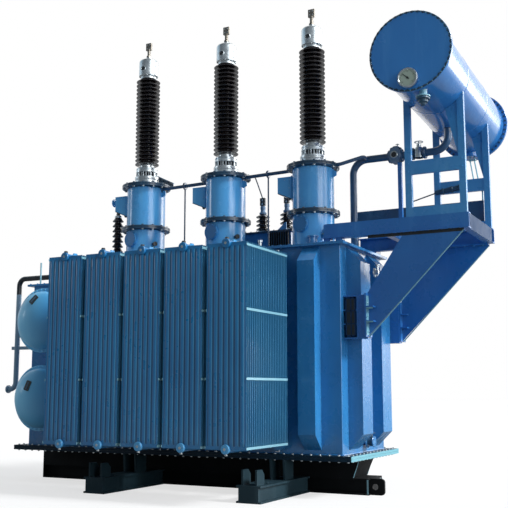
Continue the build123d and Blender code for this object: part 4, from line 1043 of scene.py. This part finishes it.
def drum_cover(name, face, node):
    """A flat bolted cover; face is its outer side along the drum, -1 or 1."""
    shape = Shape("conservator", DRUM)
    start = 0.0175 if face < 0 else DRUM_LONG - 0.0175
    shape.disc((0, start, 0), (0, face, 0), [
        (0, 0), (0.4865, 0), (0.4865, 0.0135), (0.4835, 0.0172), (0, 0.0172)], 96)
    shape.paint("rim")
    shape.disc((0, start, 0), (0, face, 0), [
        (0.465, 0.017), (0.4655, 0.0176), (0.483, 0.0176), (0.485, 0.0168)], 96)
    out = 0.0003 if face < 0 else DRUM_LONG - 0.0003
    shape.bolt_ring((0, out, 0), (0, face, 0), 0.472, 44, 0.0115)
    # small pale studs between the dark bolt heads: painted glints
    shape.paint("strap")
    shape.bolt_ring((0, out, 0), (0, face, 0), 0.4745, 44, 0.005, 0)
    shape.paint("rim")
    back = 0.04 if face < 0 else DRUM_LONG - 0.04
    shape.bolt_ring((0, back, 0), (0, -face, 0), 0.4585, 44, 0.0115)
    piece(name, shape, node, slot="conservator_blue")


def gauge():
    """The oil level gauge: pale case and ring, greenish dial, marks and a dark pointer."""
    shape = Shape("cast", DRUM @ at(-0.013, 0, -0.344))
    shape.disc((0, 0, 0), FRONT, [
        (0.06, 0), (0.06, 0.014), (0.104, 0.016), (0.112, 0.022), (0.112, 0.052)], 64)
    shape.disc((0, 0, 0), FRONT, [
        (0.112, 0.052), (0.118, 0.054), (0.118, 0.068), (0.114, 0.074), (0.1, 0.074),
        (0.097, 0.07), (0.097, 0.062)], 64)
    shape.bolt_ring((0, -0.074, 0), FRONT, 0.109, 8, 0.0045)
    shape.paint("dial")
    shape.disc((0, -0.0625, 0), FRONT, [(0.097, 0), (0, 0)], 64)
    shape.paint("shade")
    for step in range(21):
        angle = math.radians(-130 + 13 * step)
        turn = Matrix.Rotation(angle, 4, "Y")
        long, wide = (0.02, 0.0022) if step % 5 == 0 else (0.011, 0.0012)
        shape.box(-wide, wide, -0.0642, -0.0634, 0.088 - long, 0.088, turn)
    turn = Matrix.Rotation(math.radians(-48), 4, "Y")
    needle = [(-0.006, -0.026), (0.006, -0.026), (0.003, 0.074), (0, 0.08), (-0.003, 0.074)]
    shape.plate("y", needle, -0.069, -0.0672, turn)
    shape.disc((0, -0.063, 0), FRONT, [(0.012, 0), (0.012, 0.008), (0, 0.009)], 24)
    piece("level_gauge", shape, "oil_level_gauge", slot="gauge_metal")


def relay():
    """The gas relay: cast body between bolted flanges, window, lid and test cock."""
    shape = Shape("relay", at(2.95, 0, 4.33))
    body = [(-0.045, -0.095), (0.045, -0.095), (0.055, -0.08), (0.055, 0.08),
            (0.045, 0.095), (-0.045, 0.095), (-0.055, 0.08), (-0.055, -0.08)]
    shape.plate("y", body, -0.085, 0.085)
    for side in (-1, 1):
        shape.flange((side * 0.055, 0, 0), (side, 0, 0), 0.092, 0.0195, 6, 0.008)
    shape.flange((0, 0, 0.0945), UP, 0.078, 0.01, 6, 0.006)
    shape.disc((0, 0, 0.1045), UP, [(0.045, 0), (0.041, 0.022), (0, 0.026)], 32)
    shape.paint("zinc")
    shape.disc((0, -0.0845, 0), FRONT, [
        (0.05, 0), (0.05, 0.008), (0.046, 0.012), (0.036, 0.012), (0.035, 0.006)], 40)
    shape.bolt_ring((0, -0.0965, 0), FRONT, 0.043, 6, 0.0042)
    shape.paint("glass")
    shape.disc((0, -0.0845, 0), FRONT, [(0.035, 0.006), (0, 0.006)], 40)
    shape.paint("cast")
    shape.rod((0.022, 0, 0.125), (0.022, 0, 0.165), 0.007, 12)
    shape.box(-0.002, 0.046, -0.006, 0.006, 0.15, 0.158)
    piece("relay_casting", shape, "gas_relay", slot="relay_metal")


# Round domed covers on the switch housing

DISH_FOOT, DISH_DEEP, DISH_RADIUS = 0.41, 0.215, 0.411


def dish_depth(x, z):
    """How far a point of the dished cover stands in front of its neck's foot."""
    return DISH_FOOT + DISH_DEEP * math.sqrt(1 - (x * x + z * z) / DISH_RADIUS ** 2)


def domed_cover(name, z, node, spot, tilt):
    """A round neck, a bolted rim and a deep dished cover with a dark slot."""
    shape = Shape("dome", at(-1.92, -0.75, z))
    shape.disc((0, 0, 0), FRONT, [
        (0.43, 0), (0.42, 0.008), (0.412, 0.016), (0.412, 0.362), (0.417, 0.37),
        (0.451, 0.37), (0.454, 0.373), (0.454, 0.387), (0.449, 0.389), (0.449, 0.391),
        (0.454, 0.393), (0.454, 0.407), (0.451, 0.41), (0.411, 0.41)], 96)
    dish = []
    for step in range(17):
        angle = math.radians(90) * step / 16
        dish.append((DISH_RADIUS * math.cos(angle), DISH_FOOT + DISH_DEEP * math.sin(angle)))
    dish[-1] = (0, DISH_FOOT + DISH_DEEP)
    shape.disc((0, 0, 0), FRONT, dish, 96)
    shape.bolt_ring((0, -0.41, 0), FRONT, 0.434, 36, 0.01)
    shape.bolt_ring((0, -0.37, 0), REAR, 0.436, 36, 0.009)
    depth = dish_depth(*spot)
    slope = Vector((spot[0] / DISH_RADIUS ** 2, (DISH_FOOT - depth) / DISH_DEEP ** 2,
                    spot[1] / DISH_RADIUS ** 2))
    place = stand((spot[0], -depth, spot[1]), slope) @ Matrix.Rotation(tilt, 4, "Z")
    shape.paint("shade")
    outline = [(-0.046, -0.058), (-0.034, -0.07), (0.034, -0.07), (0.046, -0.058),
               (0.046, 0.058), (0.034, 0.07), (-0.034, 0.07), (-0.046, 0.058)]
    shape.plate("z", outline, -0.02, 0.007, place)
    shape.paint("valve")
    shape.box(-0.012, 0.012, -0.05, 0.05, 0.004, 0.011, place)
    piece(name, shape, node, slot="cover_blue")


def drum_and_covers():
    drum_shell()
    drum_cover("drum_cover_front", -1, "conservator_front_cover")
    drum_cover("drum_cover_rear", 1, "conservator_rear_cover")
    gauge()
    relay()
    domed_cover("round_cover_lower", 1.1798, "domed_cover_lower", (-0.05, 0.17), -0.25)
    domed_cover("round_cover_upper", 2.2647, "domed_cover_upper", (-0.03, 0.28), -0.55)


# Pipes

GAS_RADIUS, OIL_RADIUS = 0.024, 0.048
PIPE_Z = 4.33
RISE_X, DRUM_X = 2.35, 3.65
RELIEF_Y, RELIEF_X, RELIEF_TOP, RELIEF_FOOT = -0.12, -3.3, 3.037, 1.302


def gas_spot(x):
    """A point on the gas pipe, which climbs a little towards the conservator."""
    return (x, TURRET_Y, 4.165 + (x - TURRETS[0]) * 0.02)


def gas_pipe():
    """From turret to turret and on to the oil pipe, with small flanges and props."""
    shape = Shape("pipe")
    y = TURRET_Y
    reach = TURRET_RADIUS + 0.0012
    for first, last in zip(TURRETS, TURRETS[1:]):
        start, end, middle = first + reach, last - reach, (first + last) / 2
        shape.tube([gas_spot(start), gas_spot(end)], GAS_RADIUS)
        for x, level, toward, radius, thick in (
                (start - 0.001, start, RIGHT, 0.05, 0.012),
                (end + 0.001, end, LEFT, 0.05, 0.012),
                (middle - 0.014, middle, RIGHT, 0.052, 0.013),
                (middle + 0.014, middle, LEFT, 0.052, 0.013)):
            shape.flange((x, *gas_spot(level)[1:]), toward, radius, thick, 4, 0.006)
        shape.tube([(middle, y, DECK), gas_spot(middle)], 0.011, sides=12)
        shape.box(middle - 0.04, middle + 0.04, y - 0.03, y + 0.03, DECK, DECK + 0.008)
    start = TURRETS[-1] + reach
    low = gas_spot(start)[2]
    shape.tube([(start, y, low), (start + 0.11, y, low), (2.56, -0.1683, PIPE_Z),
                (2.56, -0.0485, PIPE_Z)], GAS_RADIUS, 0.06)
    shape.flange((start - 0.001, y, low), RIGHT, 0.05, 0.012, 4, 0.006)
    piece("gas_line", shape, "gas_pipe", slot="pipe_blue")


def oil_pipes():
    """The main pipe up from the cover, across to the drum and a valve in it."""
    shape = Shape("pipe")
    shape.tube([(RISE_X, 0, DECK), (RISE_X, 0, PIPE_Z), (2.875, 0, PIPE_Z)], OIL_RADIUS,
               0.19, 28, 12)
    shape.flange((RISE_X, 0, DECK + 0.0005), UP, 0.085, 0.023, 6, 0.009)
    shape.joint((RISE_X, 0, 3.34), UP, 0.08, 0.016, 6, 0.008)
    shape.flange((2.8745, 0, PIPE_Z), LEFT, 0.085, 0.018, 6, 0.008)
    piece("oil_line_rise", shape, "oil_pipe_lower", slot="pipe_blue")
    shape = Shape("pipe")
    shape.tube([(3.0255, 0, PIPE_Z), (DRUM_X, 0, PIPE_Z), (DRUM_X, 0, 4.66)], OIL_RADIUS,
               0.19, 28, 12)
    shape.flange((3.0255, 0, PIPE_Z), RIGHT, 0.085, 0.018, 6, 0.008)
    for x in (3.18, 3.34):
        shape.joint((x, 0, PIPE_Z), RIGHT, 0.08, 0.014, 6, 0.007)
    valve = 3.26
    shape.paint("cast")
    shape.disc((valve, 0, PIPE_Z), UP, [
        (0.062, -0.062), (0.068, -0.03), (0.068, 0.03), (0.05, 0.072), (0.03, 0.085),
        (0.03, 0.12), (0, 0.12)], 28)
    shape.rod((valve, 0, 4.44), (valve, 0, 4.49), 0.008, 12)
    shape.disc((valve, 0, 4.475), UP, [
        (0.055, 0), (0.06, 0.005), (0.055, 0.01), (0.046, 0.01), (0.046, 0)], 28)
    piece("oil_line_drum", shape, "oil_pipe_upper", slot="pipe_blue")


def relief_pipe():
    """Out over the housing, down beside it and left to an end flange, on a bracket."""
    shape = Shape("relief")
    y, top, out, foot = RELIEF_Y, RELIEF_TOP, RELIEF_X, RELIEF_FOOT
    turn = top - 0.25
    # the top run in near-black paint: painted shade
    shape.tube([(-1.4, y, top), (out, y, top), (out, y, turn)], 0.04, 0.11, 24, 10)
    shape.joint((-2.35, y, top), LEFT, 0.07, 0.014, 6, 0.007)
    # the run down beside the housing and its bracket in pale grey: painted light on the same
    # pipe as the dark top run
    shape.paint("grey")
    shape.tube([(out, y, turn + 0.004), (out, y, foot), (out - 0.16, y, foot)], 0.04, 0.11,
               24, 10)
    shape.flange((out - 0.13, y, foot), LEFT, 0.062, 0.026)
    shape.bolt_ring((out - 0.156, y, foot), LEFT, 0.051, 6, 0.007)
    bar = top - 1.095
    shape.box(out - 0.09, -2.44, y - 0.025, y + 0.025, bar - 0.025, bar + 0.025)
    shape.box(-2.452, -2.44, y - 0.07, y + 0.07, bar - 0.24, bar + 0.08)
    shape.rod((out, y, bar + 0.21), (-2.445, y, bar - 0.165), 0.016)
    for side in (-1, 1):
        for z in (bar - 0.215, bar + 0.055):
            shape.bolt((-2.452, y + side * 0.05, z), LEFT, 0.008)
    clamp = [(0.04, -0.016), (0.046, -0.016), (0.046, 0.016), (0.04, 0.016)]
    shape.lathe(clamp, stand((out, y, bar)), 28)
    piece("relief_line", shape, "relief_pipe", slot="pipe_blue")


def pipes():
    gas_pipe()
    oil_pipes()
    relief_pipe()


# Bolts and small fittings on the tank, the base and the platform

TANK_LEFT, TANK_RIGHT, TANK_SIDE = -1.4, 2.44, 0.75
HOUSING_TOP = 2.84
PLATFORM_SIDE = 0.668
BEAMS = (-0.58, 1.62)


def bolt_frame(shape, z, toward, size, rows, columns):
    """Bolts at one height: rows are half a depth, two ends and a count; so are columns."""
    y, left, right, count = rows
    for side in (-1, 1):
        shape.bolt_row((left, side * y, z), (right, side * y, z), count, toward, size)
    half, ends, count = columns
    for x in ends:
        shape.bolt_row((x, -half, z), (x, half, z), count, toward, size)


def flange_bolts():
    """The bolt rows round the bottom flange, the tank's cover and the housing's lid."""
    shape = Shape("zinc")
    for z, toward in ((0.509, UP), (0.445, DOWN)):
        bolt_frame(shape, z, toward, 0.0145, (0.835, -2.54, 2.54, 43),
                   (0.72, (-2.555, 2.555), 13))
    shape.paint("tank")
    bolt_frame(shape, DECK, UP, 0.0125, (0.79, -1.43, 2.47, 34), (0.7, (-1.44, 2.48), 13))
    bolt_frame(shape, HOUSING_TOP, UP, 0.0125, (0.775, -2.49, -1.46, 9),
               (0.7, (-2.505,), 11))
    piece("flange_bolts", shape, slot="tank_blue")


def weld_lines():
    """Beads along the bottom flange and the housing's joint."""
    shape = Shape("tank")
    for side in (-1, 1):
        y = side * (TANK_SIDE + 0.0005)
        shape.rod((-TANK_RIGHT, y, 0.512), (TANK_RIGHT, y, 0.512), 0.008, 8)
        y = side * (TANK_SIDE + 0.0015)
        shape.rod((TANK_LEFT, y, 0.52), (TANK_LEFT, y, 2.8), 0.006, 8)
    x = TANK_RIGHT + 0.0005
    shape.rod((x, -0.74, 0.512), (x, 0.74, 0.512), 0.008, 8)
    piece("weld_beads", shape, slot="tank_blue")


def cover_fittings():
    """Lifting bollards, thermometer pockets, filler and plugs on the tank's cover."""
    shape = Shape("tank")
    for x in (-1.18, 2.02):
        for side in (-1, 1):
            shape.disc((x, side * 0.62, DECK + 0.0003), UP, [
                (0.055, 0), (0.055, 0.1), (0.072, 0.105), (0.072, 0.125), (0, 0.125)], 28)
    shape.paint("cast")
    for x, y in ((-0.15, -0.6), (1.26, -0.62), (-0.1, 0.1), (1.3, 0.05)):
        shape.disc((x, y, DECK), UP, [
            (0.034, 0), (0.034, 0.03), (0.022, 0.034), (0.022, 0.095), (0.03, 0.098),
            (0.03, 0.125), (0, 0.13)], 18)
    shape.paint("tank")
    shape.flange((-0.09, 0.3, DECK), UP, 0.13, 0.03, 10, 0.01)
    shape.disc((-0.09, 0.3, DECK + 0.03), UP, [(0.085, 0), (0.085, 0.02), (0, 0.03)])
    piece("cover_fittings", shape, slot="tank_blue")


def tank_end_fittings():
    """Two valves on the tank's right end and a rod on the housing's lid."""
    # drain valve low down
    shape = Shape("tank", at(TANK_RIGHT, 0, 0.64))
    shape.disc((0, 0, 0), RIGHT, [(0.045, 0), (0.045, 0.05)], 24)
    shape.flange((0.035, 0, 0), RIGHT, 0.078, 0.016, 6, 0.008)
    shape.paint("valve")
    shape.disc((0.06, 0, 0), RIGHT, [
        (0, 0), (0.05, 0.002), (0.055, 0.03), (0.05, 0.06), (0, 0.062)], 24)
    shape.disc((0.09, 0, 0), UP, [(0.024, 0.03), (0.024, 0.1), (0, 0.1)], 16)
    shape.disc((0.09, 0, 0.105), UP, [
        (0.05, 0), (0.054, 0.005), (0.05, 0.01), (0.04, 0.01), (0.04, 0)], 24)
    shape.paint("tank")
    shape.flange((0.1215, 0, 0), RIGHT, 0.07, 0.014, 6, 0.007)
    # small valve high on the middle stiffener
    shape.place = at(2.672, -0.046, 2.8)
    shape.paint("cast")
    shape.flange((-0.0418, 0, 0), RIGHT, 0.06, 0.014, 6, 0.007)
    shape.disc((-0.028, 0, 0), RIGHT, [(0.032, 0), (0.032, 0.05), (0, 0.052)], 20)
    shape.disc((0, 0, 0), UP, [
        (0.022, 0), (0.022, 0.085), (0.034, 0.09), (0.034, 0.104), (0, 0.106)], 16)
    shape.disc((0, 0, 0), DOWN, [(0.02, 0), (0.02, 0.07), (0, 0.072)], 16)
    shape.place = at(0, 0, 0)
    # vertical rod on the housing's lid
    shape.paint("strap")
    shape.tube([(-2.37, -0.7, HOUSING_TOP), (-2.37, -0.7, 3.17)], 0.012, 0, 12)
    shape.box(-2.41, -2.33, -0.74, -0.66, HOUSING_TOP, HOUSING_TOP + 0.01)
    piece("tank_fittings", shape, slot="tank_blue")


def platform_details():
    """Lips and bolts of the platform and its brackets, painted shade in their joints and
    recesses, and painted highlights on their edges.
    """
    shape = Shape("post")
    inner = PLATFORM_SIDE
    for side in (-1, 1):
        for x in (3.315, 3.98):
            for z in (3.93, 4.03):
                shape.bolt((x, side * inner, z), (0, side, 0), 0.0095)
        shape.bolt_row((3.3, side * 0.61, 3.163), (3.9, side * 0.61, 3.163), 6, DOWN, 0.0105)
    for side in (-1, 1):
        # a beam's lower lip with bolts under it, and a dark strip of painted shadow in the
        # joint with the bracket
        shape.paint("frame")
        shape.side_box(side, 2.19, 4.038, inner, 0.694, 3.184, 3.194)
        shape.paint("shade")
        shape.bolt_row((2.86, side * 0.681, 3.184), (3.92, side * 0.681, 3.184), 10, DOWN,
                       0.0125)
        shape.side_box(side, 2.78, 3.974, inner, 0.6695, 3.146, 3.183)
        # a dark plate over a bracket's pad: painted shade in the recess
        shape.side_box(side, 2.47, 2.6, inner, 0.6695, 1.945, 2.42)
    # a dark plate of painted shade over the open end channel of the platform
    shape.paint("matt")
    shape.box(4.0252, 4.0285, -0.575, 0.575, 3.183, 3.369)
    for side in (-1, 1):
        # grooves of a bracket's pad
        for x in (2.47, 2.535, 2.588):
            shape.side_box(side, x, x + 0.014, inner, 0.6715, 1.945, 2.42)
        for z in (1.945, 2.09, 2.25, 2.406):
            shape.side_box(side, 2.47, 2.6, inner, 0.6715, z, z + 0.014)
    shape.paint("strap")
    for side in (-1, 1):
        # painted highlights: pale edges of a bracket's flange, ribs and lower side, where the
        # key light catches them
        shape.side_box(side, 2.7751, 2.778, 0.674, 0.764, 1.95, 2.43)
        for z in (1.99, 2.18, 2.34):
            shape.bolt((2.778, side * 0.72, z), RIGHT, 0.0105)
        for z in (2.098, 2.264):
            shape.side_box(side, 2.776, 2.863, 0.7681, 0.7705, z + 0.002, z + 0.018)
        shape.rod((2.777, side * 0.664, 1.934), (3.97, side * 0.664, 3.16), 0.008, 8)
    piece("platform_details", shape, slot="frame_blue")


def platform_ties():
    """The dark sleeved bar between the posts, the sump's rods and a drain pipe."""
    shape = Shape("rim")
    start, end = Vector((3.302, 0.604, 3.917)), Vector((3.643, 0.604, 3.964))
    shape.rod(start, end, 0.034, 16)
    shape.rod(start, (2.98, 0.604, 3.832), 0.009, 8)
    for share in (0.25, 0.6, 0.9):
        shape.disc(start.lerp(end, share), (0.99, 0, 0.13), [
            (0.034, 0), (0.044, 0.004), (0.044, 0.022), (0.034, 0.026)], 16)
    shape.paint("strap")
    for x in (3.64, 3.7):
        shape.tube([(x, 1.185, 4.515), (x, 1.185, 4.44), (x + 0.15, 0.72, 4.05),
                    (x + 0.15, 0.655, 4.0)], 0.009, 0.03, 10, 3)
    shape.box(3.62, 3.72, 1.165, 1.205, 4.452, 4.468)
    shape.tube([(3.905, 0.69, 3.93), (3.905, 0.69, 3.375)], 0.011, 0, 10)
    shape.box(3.88, 3.93, 0.666, 0.702, 3.9, 3.912)
    piece("platform_ties", shape, slot="frame_blue")


def base_details():
    """Bolts on the cross beams, and painted highlights as pale plate edges on the girder and
    the keel.
    """
    shape = Shape("beam")
    for x in BEAMS:
        for side in (-1, 1):
            for off in (-0.08, 0.08):
                shape.bolt((x + off, side * 1.3, 0.2003), UP, 0.014)
    # pale strips on the girder's end and along the keel's sloped edge: painted highlights
    shape.paint("strap")
    for side in (-1, 1):
        shape.side_box(side, 2.553, 2.574, 0.25, 0.2512, 0.012, 0.188)
        shape.rod((2.462, side * 0.2505, 0.437), (2.376, side * 0.2505, 0.204), 0.005, 8)
    piece("base_details", shape, slot="base_black")


def fittings():
    flange_bolts()
    weld_lines()
    cover_fittings()
    tank_end_fittings()
    platform_details()
    platform_ties()
    base_details()


place_camera()
light_scene()
lay_floor()
LOOKS = make_materials()
dress_nodes(LOOKS)
radiators()
turrets_and_bushings()
drum_and_covers()
pipes()
fittings()
